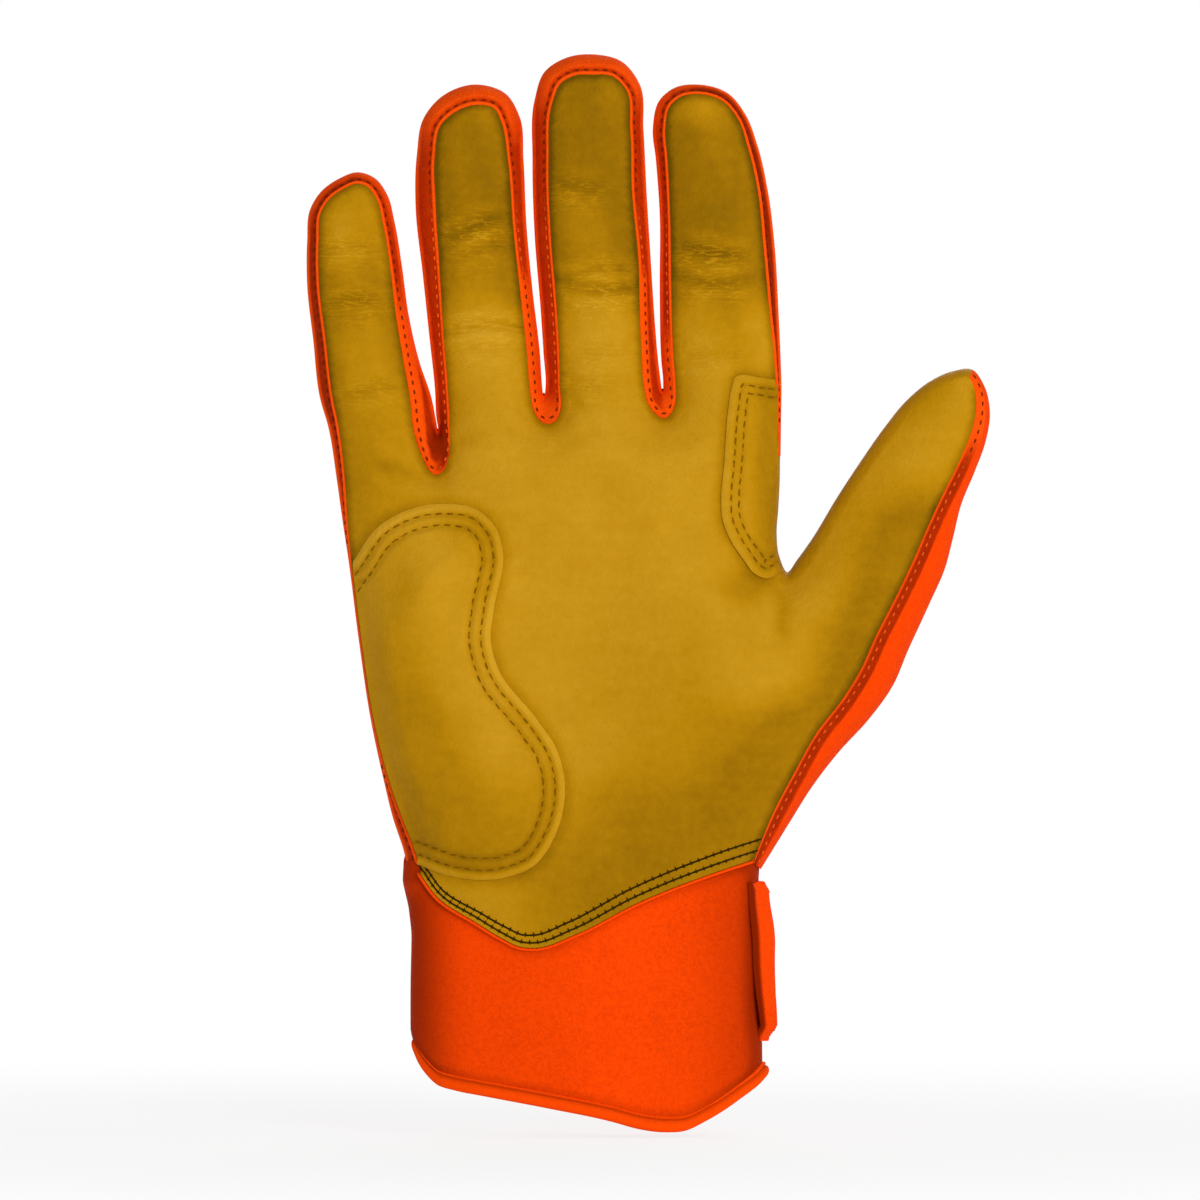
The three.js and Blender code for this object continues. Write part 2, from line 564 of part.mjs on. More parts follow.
// Finishes, by what each piece is made of
const leather = new THREE.MeshStandardMaterial({ color: 0xb8860f, roughness: 0.55, metalness: 0 });
const bandCloth = new THREE.MeshStandardMaterial({ color: 0xa8280a, roughness: 0.8, metalness: 0 });
const stretchCloth = new THREE.MeshStandardMaterial({ color: 0xff4802, roughness: 0.75, metalness: 0 });
const cuffFoam = new THREE.MeshStandardMaterial({ color: 0xf94505, roughness: 0.7, metalness: 0 });
const binding = new THREE.MeshStandardMaterial({ color: 0xee4005, roughness: 0.8, metalness: 0 });
const hookLoop = new THREE.MeshStandardMaterial({ color: 0xd23c06, roughness: 0.95, metalness: 0 });
const softRubber = new THREE.MeshStandardMaterial({ color: 0xc83404, roughness: 0.6, metalness: 0 });
const foam = new THREE.MeshStandardMaterial({ color: 0xd8cfa8, roughness: 0.95, metalness: 0 });
const MADE_OF = [
  [/_(front|leather|patch|pad)$/, leather],
  [/band|gusset_|strip/, bandCloth],
  [/back|base_panel|vent/, stretchCloth],
  [/^cuff|^strap/, cuffFoam],
  [/hem|elastic/, binding],
  [/hook|loop/, hookLoop],
  [/strap_patch/, softRubber],
  [/foam/, foam],
];

function finishOf(name) {
  return MADE_OF.filter(([pattern]) => pattern.test(name)).at(-1)[1];
}

const glove = new THREE.Group();
for (const [name, body] of Object.entries(pieces)) {
  const mesh = new THREE.Mesh(geometryOf(body), finishOf(name));
  mesh.name = name;
  glove.add(mesh);
}

export default glove;
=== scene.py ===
"""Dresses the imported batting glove: leather palm, stitched side bands, stretch back, cuff and wrist strap.

Shapes are worked out in millimetres in the glove's own frame: x towards the thumb, y from the palm to the
back, z from the cuff to the fingertips. Meshes are written in metres, with their place in their vertices.
"""

import logging
import math
from collections.abc import Callable, Sequence
from dataclasses import dataclass, field
from enum import Enum
from typing import Any

import bpy
import numpy as np
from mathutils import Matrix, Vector, noise
from mathutils.bvhtree import BVHTree
from mathutils.geometry import delaunay_2d_cdt


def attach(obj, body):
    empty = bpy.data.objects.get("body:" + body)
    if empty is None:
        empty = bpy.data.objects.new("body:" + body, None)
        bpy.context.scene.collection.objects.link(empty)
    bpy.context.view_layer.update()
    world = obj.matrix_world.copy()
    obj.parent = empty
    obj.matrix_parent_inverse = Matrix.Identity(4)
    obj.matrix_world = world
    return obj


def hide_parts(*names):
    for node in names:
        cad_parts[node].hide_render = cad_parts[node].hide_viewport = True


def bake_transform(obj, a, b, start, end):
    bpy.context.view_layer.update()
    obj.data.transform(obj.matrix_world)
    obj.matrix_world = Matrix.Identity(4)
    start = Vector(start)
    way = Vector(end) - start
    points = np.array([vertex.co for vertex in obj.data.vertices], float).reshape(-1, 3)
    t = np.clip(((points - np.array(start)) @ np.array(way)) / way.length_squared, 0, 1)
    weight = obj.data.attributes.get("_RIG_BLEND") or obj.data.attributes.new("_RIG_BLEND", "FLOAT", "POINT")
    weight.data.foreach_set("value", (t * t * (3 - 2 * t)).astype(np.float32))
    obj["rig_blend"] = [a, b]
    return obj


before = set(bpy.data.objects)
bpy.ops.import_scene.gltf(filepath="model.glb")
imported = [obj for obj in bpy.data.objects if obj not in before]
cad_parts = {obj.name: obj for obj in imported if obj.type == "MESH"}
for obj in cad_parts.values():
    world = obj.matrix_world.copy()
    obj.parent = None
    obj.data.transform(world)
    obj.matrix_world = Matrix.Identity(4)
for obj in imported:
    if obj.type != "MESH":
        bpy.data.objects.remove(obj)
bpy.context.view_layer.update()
LOG = logging.getLogger("batting_glove")
MM = 0.001
TINY = 1e-9
SAME_PLACE = 1e-6

Array = np.ndarray
Pair = tuple[float, float]
Triple = tuple[float, float, float]
Numbers = tuple[float, ...]


# Small geometry helpers

def unit(rows: Array) -> Array:
    """Rows of coordinates scaled to length 1."""
    return rows / np.maximum(np.linalg.norm(rows, axis=1, keepdims=True), TINY)


def travel(line: Array) -> Array:
    """Distance along a line at each of its points."""
    return np.concatenate([[0], np.cumsum(np.linalg.norm(np.diff(line, axis=0), axis=1))])


def closed(loop: Array) -> Array:
    """A loop's points with the first one again at the end."""
    return np.concatenate([loop, loop[:1]])


def beside(line: Array) -> Array:
    """Flat directions square to a line, on its right-hand side."""
    along = unit(np.gradient(line, axis=0))
    return np.stack([along[:, 1], -along[:, 0]], 1)


def smoothstep(low: float, high: float, value: Array) -> Array:
    """Rises smoothly from 0 at low to 1 at high."""
    t = np.clip((np.asarray(value, float) - low) / (high - low), 0, 1)
    return t * t * (3 - 2 * t)


def spline(points: Array, counts: Sequence[int]) -> Array:
    """Samples a smooth curve through points.

    Args:
        points: Rows of coordinates; the first two columns set the spacing.
        counts: Steps in each span.

    Returns:
        The sampled rows, with the last point included.
    """
    spans = np.diff(points, axis=0)
    lengths = np.maximum(np.linalg.norm(spans[:, :2], axis=1), SAME_PLACE)[:, None]
    slopes = spans / lengths
    tangents = np.empty_like(points)
    tangents[0], tangents[-1] = slopes[0], slopes[-1]
    tangents[1:-1] = (slopes[:-1] * lengths[1:] + slopes[1:] * lengths[:-1]) / (lengths[:-1] + lengths[1:])
    rows = []
    for i, count in enumerate(counts):
        t = np.arange(count)[:, None] / count
        share = 3 * t ** 2 - 2 * t ** 3
        leave, arrive = t ** 3 - 2 * t ** 2 + t, t ** 3 - t ** 2
        place = (1 - share) * points[i] + share * points[i + 1]
        rows.append(place + lengths[i] * (leave * tangents[i] + arrive * tangents[i + 1]))
    return np.concatenate([*rows, points[-1:]])


def curve_through(points: Sequence[Sequence[float]], step: float) -> Array:
    """Samples a smooth curve through points at about an even step.

    Args:
        points: The points that the curve passes.
        step: Distance between samples, in millimetres.

    Returns:
        The sampled points.
    """
    rows = np.array(points, float)
    lengths = np.linalg.norm(np.diff(rows, axis=0), axis=1)
    return spline(rows, [max(2, math.ceil(length / step)) for length in lengths])


def distance_to(line: Array, points: Array) -> Array:
    """Shortest distance from each point to a line of points.

    Args:
        line: The line's points, close together or far apart.
        points: The points to measure.

    Returns:
        One distance for each point.
    """
    best = np.full(len(points), np.inf)
    for a, b in zip(line[:-1], line[1:]):
        along = b - a
        t = np.clip(((points - a) @ along) / max(along @ along, TINY), 0, 1)
        best = np.minimum(best, np.linalg.norm(points - a - t[:, None] * along, axis=1))
    return best


def inside(loop: Array, points: Array) -> Array:
    """Tells which points lie inside a closed flat loop.

    Args:
        loop: The loop's points, without a repeated end.
        points: The points to test.

    Returns:
        True for each point inside.
    """
    result = np.zeros(len(points), bool)
    x, z = points[:, 0], points[:, 1]
    for (ax, az), (bx, bz) in zip(loop, np.roll(loop, -1, axis=0)):
        if az == bz:
            continue
        crosses = (az > z) != (bz > z)
        result ^= crosses & (x < ax + (z - az) / (bz - az) * (bx - ax))
    return result


def vertex_normals(points: Array, faces: Array) -> Array:
    """Area-weighted normals of a triangle mesh.

    Args:
        points: Vertex places.
        faces: Triangles as rows of three indices.

    Returns:
        One unit normal for each vertex.
    """
    a, b, c = points[faces[:, 0]], points[faces[:, 1]], points[faces[:, 2]]
    across = np.cross(b - a, c - a)
    total = np.zeros_like(points)
    for corner in range(3):
        np.add.at(total, faces[:, corner], across)
    return unit(total)


def face_edges(faces: Array) -> Array:
    """The three edges of each triangle, in its own direction."""
    return np.concatenate([faces[:, [0, 1]], faces[:, [1, 2]], faces[:, [2, 0]]])


def grid_faces(rows: int, columns: int) -> Array:
    """Triangles of a grid whose vertices are stored row by row.

    Args:
        rows: Number of rows.
        columns: Vertices in each row.

    Returns:
        Rows of three indices.
    """
    r = np.arange(rows - 1)[:, None]
    a = (r * columns + np.arange(columns - 1)).ravel()
    b = a + 1
    return np.concatenate([np.stack([a, b, b + columns], 1), np.stack([a, b + columns, a + columns], 1)])


def ripple(points: Array, size: float, seed: float) -> Array:
    """Smooth noise on points."""
    return np.array([noise.noise(Vector(p) / size + Vector((seed, 0, 0))) for p in points])


# Meshes

def look_name(name: str) -> str:
    """Name of a piece; one that stands for a CAD node gets an ending of its own."""
    return name + "_look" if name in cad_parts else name


def write_mesh(name: str, points: Array, faces: Sequence[Sequence[int]], normals: Array | None,
               attributes: dict[str, Array]) -> bpy.types.Object:
    """Makes an object from places in millimetres.

    Args:
        name: Name of the piece.
        points: Vertex places.
        faces: Vertex indices of each face.
        normals: One normal for each face corner, or None for smooth shading.
        attributes: Numbers for each vertex, by name.

    Returns:
        The new object, at the origin.
    """
    name = look_name(name)
    mesh = bpy.data.meshes.new(name)
    mesh.from_pydata((points * MM).tolist(), [], [list(map(int, face)) for face in faces])
    mesh.shade_smooth()
    rest = mesh.attributes.new("rest", "FLOAT_VECTOR", "POINT")
    rest.data.foreach_set("vector", (points * MM).astype(np.float32).ravel())
    for key, values in attributes.items():
        layer = mesh.attributes.new(key, "FLOAT", "POINT")
        layer.data.foreach_set("value", np.asarray(values, np.float32))
    if normals is not None:
        mesh.normals_split_custom_set(normals.tolist())
    mesh.update()
    piece = bpy.data.objects.new(name, mesh)
    bpy.context.scene.collection.objects.link(piece)
    return piece


@dataclass
class Skin:
    """An open triangle skin with its outward normals and numbers for its materials."""

    points: Array
    faces: Array
    attributes: dict[str, Array] = field(default_factory=dict)
    normals: Array | None = None

    def __post_init__(self) -> None:
        """Works out the normals where none are given."""
        if self.normals is None:
            self.normals = vertex_normals(self.points, self.faces)

    def part(self, chosen: Array) -> "Skin":
        """Some of the skin's triangles, with the whole skin's normals.

        Args:
            chosen: True for each triangle to keep.

        Returns:
            The smaller skin.
        """
        kept, faces = np.unique(self.faces[chosen], return_inverse=True)
        attributes = {key: values[kept] for key, values in self.attributes.items()}
        return Skin(self.points[kept], faces.reshape(-1, 3), attributes, self.normals[kept])

    def tree(self) -> BVHTree:
        """The skin as a tree for rays."""
        return BVHTree.FromPolygons(self.points.tolist(), self.faces.tolist())

    def centres(self) -> Array:
        """Middle of each triangle."""
        return self.points[self.faces].mean(axis=1)

    def moved(self, distance: float | Array) -> Array:
        """Places moved along the normals by a distance."""
        return self.points + self.normals * np.reshape(distance, (-1, 1))

    def shell(self, name: str, wall: float | Array) -> bpy.types.Object:
        """Makes a closed piece by giving the skin a wall on its inner side.

        Args:
            name: Name of the piece.
            wall: Thickness, for all or for each vertex.

        Returns:
            The new object.
        """
        count = len(self.points)
        inner = self.moved(-np.broadcast_to(wall, count))
        edges = face_edges(self.faces)
        twins = set(map(tuple, edges.tolist()))
        rim = np.array([(a, b) for a, b in edges.tolist() if (b, a) not in twins]).reshape(-1, 2)
        points = np.concatenate([self.points, inner])
        quads = np.stack([rim[:, 1], rim[:, 0], rim[:, 0] + count, rim[:, 1] + count], 1)
        faces = [*self.faces.tolist(), *(self.faces[:, ::-1] + count).tolist(), *quads.tolist()]
        corner = points[quads[:, 0]]
        side = unit(np.cross(points[quads[:, 1]] - corner, points[quads[:, 3]] - corner))
        outer, inner = self.faces.ravel(), self.faces[:, ::-1].ravel()
        normals = np.concatenate([self.normals[outer], -self.normals[inner], np.repeat(side, 4, axis=0)])
        attributes = {key: np.concatenate([values, values]) for key, values in self.attributes.items()}
        return write_mesh(name, points, faces, normals, attributes)


EDGE_CLEARANCE = 0.6
SETTLING_ROUNDS = 260
FAR_OFF = 100.0


def triangulate(loop: Array, spacing: float) -> tuple[Array, Array]:
    """Fills a closed flat loop with even triangles.

    Args:
        loop: The loop's points; they come first in the result.
        spacing: Distance between inner points.

    Returns:
        Flat points and triangles.
    """
    low, high = loop.min(axis=0), loop.max(axis=0)
    row_height = spacing * math.sqrt(3) / 2
    levels = np.arange(low[1], high[1], row_height)
    lattice = np.array([
        (x, z) for i, z in enumerate(levels)
        for x in np.arange(low[0] + (i % 2) * spacing / 2, high[0], spacing)
    ])
    lattice = lattice[inside(loop, lattice)]
    lattice = lattice[distance_to(closed(loop), lattice) > EDGE_CLEARANCE * spacing]
    flat = np.concatenate([loop, lattice])
    edges = [(i, (i + 1) % len(loop)) for i in range(len(loop))]
    points, _, faces, *_ = delaunay_2d_cdt([Vector(p) for p in flat], edges, [], 1, SAME_PLACE)
    faces = np.array([face for face in faces if len(face) == 3])
    flat = np.array([tuple(p) for p in points])
    a, b, c = flat[faces[:, 0]], flat[faces[:, 1]], flat[faces[:, 2]]
    turned = (b[:, 0] - a[:, 0]) * (c[:, 1] - a[:, 1]) < (b[:, 1] - a[:, 1]) * (c[:, 0] - a[:, 0])
    faces[turned] = faces[turned][:, ::-1]
    return flat, faces


def membrane(faces: Array, fixed: Array, edge: Array, target: Array, spacing: float, reach: float) -> Array:
    """Height of a stretched skin that is held at its edge and swells towards a target inside.

    Args:
        faces: Triangles.
        fixed: True for each vertex on the edge.
        edge: Height of each edge vertex; other entries aren't read.
        target: Height that the skin swells towards.
        spacing: Distance between vertices.
        reach: How far the edge's height is felt.

    Returns:
        One height for each vertex.
    """
    pairs = np.unique(np.sort(face_edges(faces), axis=1), axis=0)
    count = len(target)
    degree = np.bincount(pairs.ravel(), minlength=count)
    pull = 2 * reach ** 2 / (3 * spacing ** 2)
    height = np.where(fixed, edge, target)
    for _ in range(SETTLING_ROUNDS):
        total = np.bincount(pairs[:, 0], height[pairs[:, 1]], count)
        total += np.bincount(pairs[:, 1], height[pairs[:, 0]], count)
        height = np.where(fixed, edge, (pull * total + target) / (pull * degree + 1))
    return height


def lay_on(flat: Array, tree: BVHTree, side: int = -1) -> Array:
    """Lays flat places on a surface.

    Args:
        flat: Flat places.
        tree: The surface.
        side: -1 to come from the palm's side and 1 from the back's.

    Returns:
        Places on the surface.
    """
    hits = [tree.ray_cast(Vector((x, side * FAR_OFF, z)), Vector((0, -side, 0)))[0] for x, z in flat]
    depth = np.array([np.nan if hit is None else hit.y for hit in hits])
    known = ~np.isnan(depth)
    for i in np.flatnonzero(~known):
        nearest = np.argmin(np.hypot(*(flat[known] - flat[i]).T))
        depth[i] = depth[known][nearest]
    return np.stack([flat[:, 0], depth, flat[:, 1]], 1)


def run_on(line: Array, count: int) -> Array:
    """Runs a line straight on at both ends.

    Args:
        line: The line.
        count: Steps added at each end.

    Returns:
        The longer line.
    """
    first, last = np.diff(line, axis=0)[[0, -1]]
    run = np.arange(1, count + 1)[:, None]
    return np.concatenate([line[0] - run[::-1] * first, line, line[-1] + run * last])


# The glove's outline, seen from the palm

class EdgeKind(Enum):
    """What covers a stretch of the glove's edge."""

    BAND = "side band from the leather round to the back"
    LEATHER = "leather that wraps the edge"
    STRIP = "narrow stitched strip, then the back's cloth"


@dataclass(frozen=True)
class Stretch:
    """A stretch of the edge: points as across, up and how far inside the edge the leather ends.

    In a fork a point gives the leather's own place, across and up, in place of that distance.
    """

    name: str
    body: str
    kind: EdgeKind
    points: tuple[Numbers, ...]


EDGE = (
    Stretch("ulnar_edge", "hand", EdgeKind.BAND, (
        (-42.1, 60.2, 2.8), (-43.3, 65.4, 2.4), (-45.6, 72.3, 2), (-47.9, 81.6, 1.1),
        (-50.9, 95.6, 0.55), (-53.7, 114.2, 0.5), (-56.1, 132.8, 0.6), (-57.5, 142.1, 1.2),
        (-58.8, 151.4, 1.9))),
    Stretch("little_side_band", "little_finger", EdgeKind.BAND, (
        (-60.9, 164.2, 2.4), (-62.6, 170, 2.9), (-64.3, 184, 2.9), (-65.7, 196.8, 2.8),
        (-65.7, 207, 2.7), (-65, 214.4, 2.7), (-62.6, 218.3, 2.7), (-58.4, 221.4, 2.7),
        (-54, 222.9, 2.7), (-50.2, 221.6, 2.6), (-47.3, 217.8, 2.6), (-45.6, 211.5, 2.6),
        (-43.9, 201.4, 2.6), (-42.3, 189.8, 2.8), (-39.8, 178.9, 3.5), (-37, 170.5, 4.9))),
    Stretch("crotch_gusset_little_ring", "hand", EdgeKind.BAND, (
        (-35.9, 164.9, 5.4), (-35.65, 163.5, -38.5, 155.6), (-35.52, 162.85, -37.4, 153.6),
        (-35.4, 162.6, -35.87, 152.5), (-35.3, 162.85, -34, 153.5), (-35.25, 163.5, -33, 156),
        (-35.5, 164.9, 2.9))),
    Stretch("ring_side_band", "ring_finger", EdgeKind.BAND, (
        (-36, 172.8, 3), (-37.2, 184, 3.3), (-38.8, 199.1, 4), (-40.5, 215.4, 4.7),
        (-40.2, 227, 4.2), (-38.6, 235.6, 4.4), (-34.2, 240.7, 4.9), (-26.5, 243.3, 4.9),
        (-19.5, 241, 4.4), (-16.5, 235.9, 4.4), (-15.6, 225.9, 3.5), (-14.9, 210.7, 3),
        (-13.5, 195.6, 2.8), (-11.75, 180.5, 2.9))),
    Stretch("crotch_gusset_ring_middle", "hand", EdgeKind.BAND, (
        (-11.25, 173.1, 2.8), (-11.1, 171.7, -13.1, 167.3), (-10.93, 171.1, -12, 165.4),
        (-10.75, 170.9, -9.85, 164.3), (-10.57, 171.1, -7.7, 165.4), (-10.4, 171.7, -6.9, 167.3))),
    Stretch("middle_side_band", "middle_finger", EdgeKind.BAND, (
        (-10.25, 173.1, 3.3), (-10.7, 180.5, 3.6), (-11.4, 191, 3.7), (-12.8, 208.4, 3.7),
        (-13.3, 225.9, 3.7), (-12.8, 239.8, 4.2), (-10.5, 246.3, 4.7), (-5.3, 249.6, 4.7),
        (0.9, 250.3, 4.9), (7.4, 248.6, 4.2), (11.4, 243.5, 3.5), (12.3, 232.8, 3), (13, 218.9, 3.3),
        (14, 202.6, 2.8), (15, 187.5, 3.4), (15.7, 179.3, 3.7))),
    Stretch("crotch_gusset_middle_index", "hand", EdgeKind.BAND, (
        (16.4, 173.65, 4), (16.55, 172.5, 13.9, 168.1), (16.68, 172.05, 15.6, 166.3),
        (16.8, 171.9, 17.3, 165.55), (16.92, 172.05, 18.9, 166.9), (17.05, 172.5, 19.8, 169.2))),
    Stretch("index_side_band", "index_finger", EdgeKind.BAND, (
        (17.1, 173.65, 2.8), (16.65, 179.3, 2.8), (16.3, 195.6, 2.6), (16.3, 213.1, 2.3),
        (15.4, 225.9, 2.6), (14.7, 233.3, 2.8), (16.3, 239.8, 2.8), (19.8, 242.6, 2.6),
        (24.9, 243.3, 2.3), (32.1, 241.2, 2.3), (36.1, 236.3, 2.1), (38.8, 229.3, 2.3),
        (41.2, 218.9, 2.3), (42.8, 206.1, 2.6), (43.7, 191, 2.1), (44.2, 180, 1.5))),
    Stretch("index_root_band", "hand", EdgeKind.BAND, (
        (44.4, 173.6, 1.3), (44.3, 165, 0.9))),
    Stretch("web_edge", "hand", EdgeKind.LEATHER, (
        (44.2, 157, 0.6), (44.1, 151, 2.6), (43.8, 145, 3), (43.4, 138.6, 3.2),
        (44, 133.7, 3.4), (45.9, 130, 3.8))),
    Stretch("thumb_inner_edge", "thumb", EdgeKind.LEATHER, (
        (48.1, 132.8, 3.4), (51.6, 137.7, 3.2), (57.2, 147, 3), (63.3, 156.3, 3),
        (68.2, 163.3, 3), (73.7, 170, 2.8), (79.1, 174.4, 2.6), (84.2, 176.7, 2.3))),
    Stretch("thumb_side_band", "thumb", EdgeKind.STRIP, (
        (88.9, 177.1, 2.3), (91.6, 173.5, 2.6), (93, 167.2, 3.5), (92.1, 160.7, 4),
        (89.6, 153.7, 4.4), (86.3, 145.6, 5.1), (84.4, 137.9, 6.7), (82.6, 131, 7.7),
        (79.1, 123, 7.9))),
    Stretch("thumb_seam_strip", "hand", EdgeKind.STRIP, (
        (77, 118.4, 8.1), (74, 111.9, 8.4), (70.5, 103.7, 8.6), (64.7, 95.6, 7.9), (57.9, 88.2, 7),
        (51.6, 80, 5.4), (46.5, 71.9, 4.6), (42.3, 65.1, 3.3), (39.7, 60.9, 37.9, 62.6))),
)
PALM_HEM = (
    (37.8, 63.2), (32.6, 61.6), (10.7, 53.3), (-3.5, 46.1), (-12.8, 43), (-16.3, 43.3), (-20.7, 45.4),
    (-26.3, 48.8), (-35.6, 54.9), (-39.4, 60),
)
HEEL_PAD = (
    (-55.1, 132.4), (-49.1, 140.5), (-41.9, 144.5), (-33.5, 145.8), (-26.3, 144.5), (-21.6, 139.8),
    (-20.2, 134.9), (-22.3, 121.2), (-23, 114.2), (-21.6, 108.4), (-12.1, 95.6), (-7.9, 89.3),
    (-6, 82.8), (-8.6, 67.9), (-12.8, 62.1), (-19.3, 59.3), (-33.5, 59.8), (-40.2, 62.2),
)
WEB_PATCH = (
    (42.8, 174.7), (38.5, 175.3), (35, 175.7), (33.6, 175.1), (33, 173.4), (32, 167.3),
    (31.1, 155.5), (30.4, 146.5), (30.6, 142.6), (32.3, 137.9), (35.6, 132.8), (38.4, 129.4),
    (40.8, 128.5), (44.8, 130.3),
)
BACK_HEM = 63.0
BACK_HEM_ENDS = (38.0, -39.6)
EDGE_STEP = 1.0
PANEL_STEP = 1.25
BACK_INSET = 2.6
BACK_FORK_SHARE = 0.6
STRIP_WIDTH = 2.9
LEATHER_WALL = 0.9
CLOTH_WALL = 0.8
THUMB_TILT = math.radians(27)
FINGER_BENDS = {"little_finger": 165.2, "ring_finger": 173.4, "middle_finger": 173.8, "index_finger": 174.2}
FINGER_GAPS = (
    ((160.0, -99.0), (260.0, -99.0)),
    ((163.0, -35.4), (178.0, -38.0), (190.0, -40.1), (215.0, -43.2), (260.0, -45.0)),
    ((171.0, -10.8), (195.0, -12.6), (210.0, -13.9), (226.0, -14.5), (260.0, -15.0)),
    ((172.0, 16.9), (187.0, 15.9), (202.0, 15.1), (219.0, 14.4), (233.0, 13.5), (260.0, 13.9)),
    ((160.0, 46.0), (260.0, 46.0)),
)
STALLS = {
    "little_finger": "little", "ring_finger": "ring", "middle_finger": "middle", "index_finger": "index",
    "thumb": "thumb",
}
FINGER_TOPS = (223.0, 243.0, 250.0, 243.0)
FINGER_BEND_LENGTH = 26.0
THUMB_BEND = 141.0
THUMB_BEND_LENGTH = 28.0
CROTCH = (45.9, 130.0)
CUT_BELOW_BEND = 0.7
EDGE_ROUNDING = 0.95


@dataclass(frozen=True)
class Fade:
    """A change that comes in smoothly between two heights, two places across or two distances."""

    change: float
    start: float
    full: float
    across: bool = False

    def of(self, values: Array) -> Array:
        """The change for heights, distances or other numbers."""
        return self.change * smoothstep(self.start, self.full, values)

    def at(self, flat: Array) -> Array:
        """The change at flat places."""
        return self.of(flat[:, 0 if self.across else 1])


PALM_SWELL = (6.3, Fade(2.7, 166, 132))
THUMB_SWELL = (6.6, Fade(2.6, 150, 108))
THUMB_SIDE = Fade(1, 42, 50, across=True)


def thumb_reach(points: Array) -> Array:
    """How far points lie along the thumb's own direction."""
    return points[:, 0] * math.sin(THUMB_TILT) + points[:, -1] * math.cos(THUMB_TILT)


def between_gaps(points: Array, number: int) -> Array:
    """Tells which places lie between the two gaps beside a finger."""
    left, right = (np.interp(points[:, -1], *np.array(FINGER_GAPS[number + step]).T) for step in (0, 1))
    return (points[:, 0] > left) & (points[:, 0] < right)


def body_at(points: Array) -> Array:
    """Names the body that carries each place of the glove.

    Args:
        points: Places in millimetres.

    Returns:
        Body names.
    """
    names = np.full(len(points), "hand", dtype=object)
    for number, (body, bend) in enumerate(FINGER_BENDS.items()):
        names[between_gaps(points, number) & (points[:, -1] > bend - CUT_BELOW_BEND)] = body
    names[(points[:, 0] > CROTCH[0]) & (thumb_reach(points) > THUMB_BEND - CUT_BELOW_BEND)] = "thumb"
    return names


def edge_swell(points: Array) -> Array:
    """How far the glove swells from its edge line, to the palm and to the back."""
    palm, thumb = (base + fade.at(points) for base, fade in (PALM_SWELL, THUMB_SWELL))
    return palm + (thumb - palm) * THUMB_SIDE.at(points)


def edge_depth(inset: Array, swell: Array) -> Array:
    """Depth of the rounded edge at a distance inside the outline."""
    past = 1 - np.minimum(inset / (EDGE_ROUNDING * swell), 1)
    return swell * np.sqrt(1 - past ** 2)


class Outline:
    """The glove's edge line, the leather's seam inside it and the back's seam, sampled column by column."""

    def __init__(self) -> None:
        """Samples the three lines through the stretches' points."""
        controls = [p for stretch in EDGE for p in stretch.points]
        edge = np.array([p[:2] for p in controls])
        inward = beside(edge)
        fork = np.array([len(p) == 4 for p in controls])
        seam = np.array([p[2:] if own else p[:2] + n * p[2] for p, n, own in zip(controls, inward, fork)])
        back = edge + inward * BACK_INSET
        back[fork] = edge[fork] + (seam[fork] - edge[fork]) * BACK_FORK_SHARE
        spans = np.maximum(*(np.linalg.norm(np.diff(line, axis=0), axis=1) for line in (edge, seam)))
        counts = [max(2, math.ceil(length / EDGE_STEP)) for length in spans]
        self.edge = spline(edge, counts)
        self.seam = spline(seam, counts)
        self.back = spline(back, counts)
        starts = np.concatenate([[0], np.cumsum(counts)])
        self.columns: dict[str, slice] = {}
        first = 0
        for stretch in EDGE:
            last = min(first + len(stretch.points), len(controls) - 1)
            self.columns[stretch.name] = slice(starts[first], starts[last] + 1)
            first = last
        self.swell = edge_swell(self.edge)
        self.inset = np.linalg.norm(self.seam - self.edge, axis=1)
        self.seam_depth = edge_depth(self.inset, self.swell)
        self.back_depth = edge_depth(np.linalg.norm(self.back - self.edge, axis=1), self.swell)

    def spans(self, *kinds: EdgeKind) -> list[slice]:
        """Columns of each stretch of some kinds."""
        return [self.columns[stretch.name] for stretch in EDGE if stretch.kind in kinds]

    def across(self, columns: slice, shares: Array, side: int) -> Array:
        """Places on the rounded edge between the outline and a seam.

        Args:
            columns: Columns to use.
            shares: Shares of the way from the outline to the seam, one row of places for each.
            side: -1 for the palm's side and 1 for the back's.

        Returns:
            Places, as rows by columns by coordinates.
        """
        edge, swell = self.edge[columns], self.swell[columns]
        seam = (self.seam if side < 0 else self.back)[columns]
        inset = np.linalg.norm(seam - edge, axis=1)
        rows = []
        for share in shares:
            flat = edge + (seam - edge) * np.reshape(share, (-1, 1))
            rows.append(np.stack([flat[:, 0], side * edge_depth(inset * share, swell), flat[:, 1]], 1))
        return np.array(rows)


# Materials

def paint(red: int, green: int, blue: int) -> tuple[float, float, float, float]:
    """Linear colour of a screen colour.

    Args:
        red: Red channel, from 0 to 255.
        green: Green channel.
        blue: Blue channel.

    Returns:
        Red, green, blue and alpha.
    """
    shares = np.array([red, green, blue]) / 255
    linear = np.where(shares <= 0.04045, shares / 12.92, ((shares + 0.055) / 1.055) ** 2.4)
    return (float(linear[0]), float(linear[1]), float(linear[2]), 1.0)


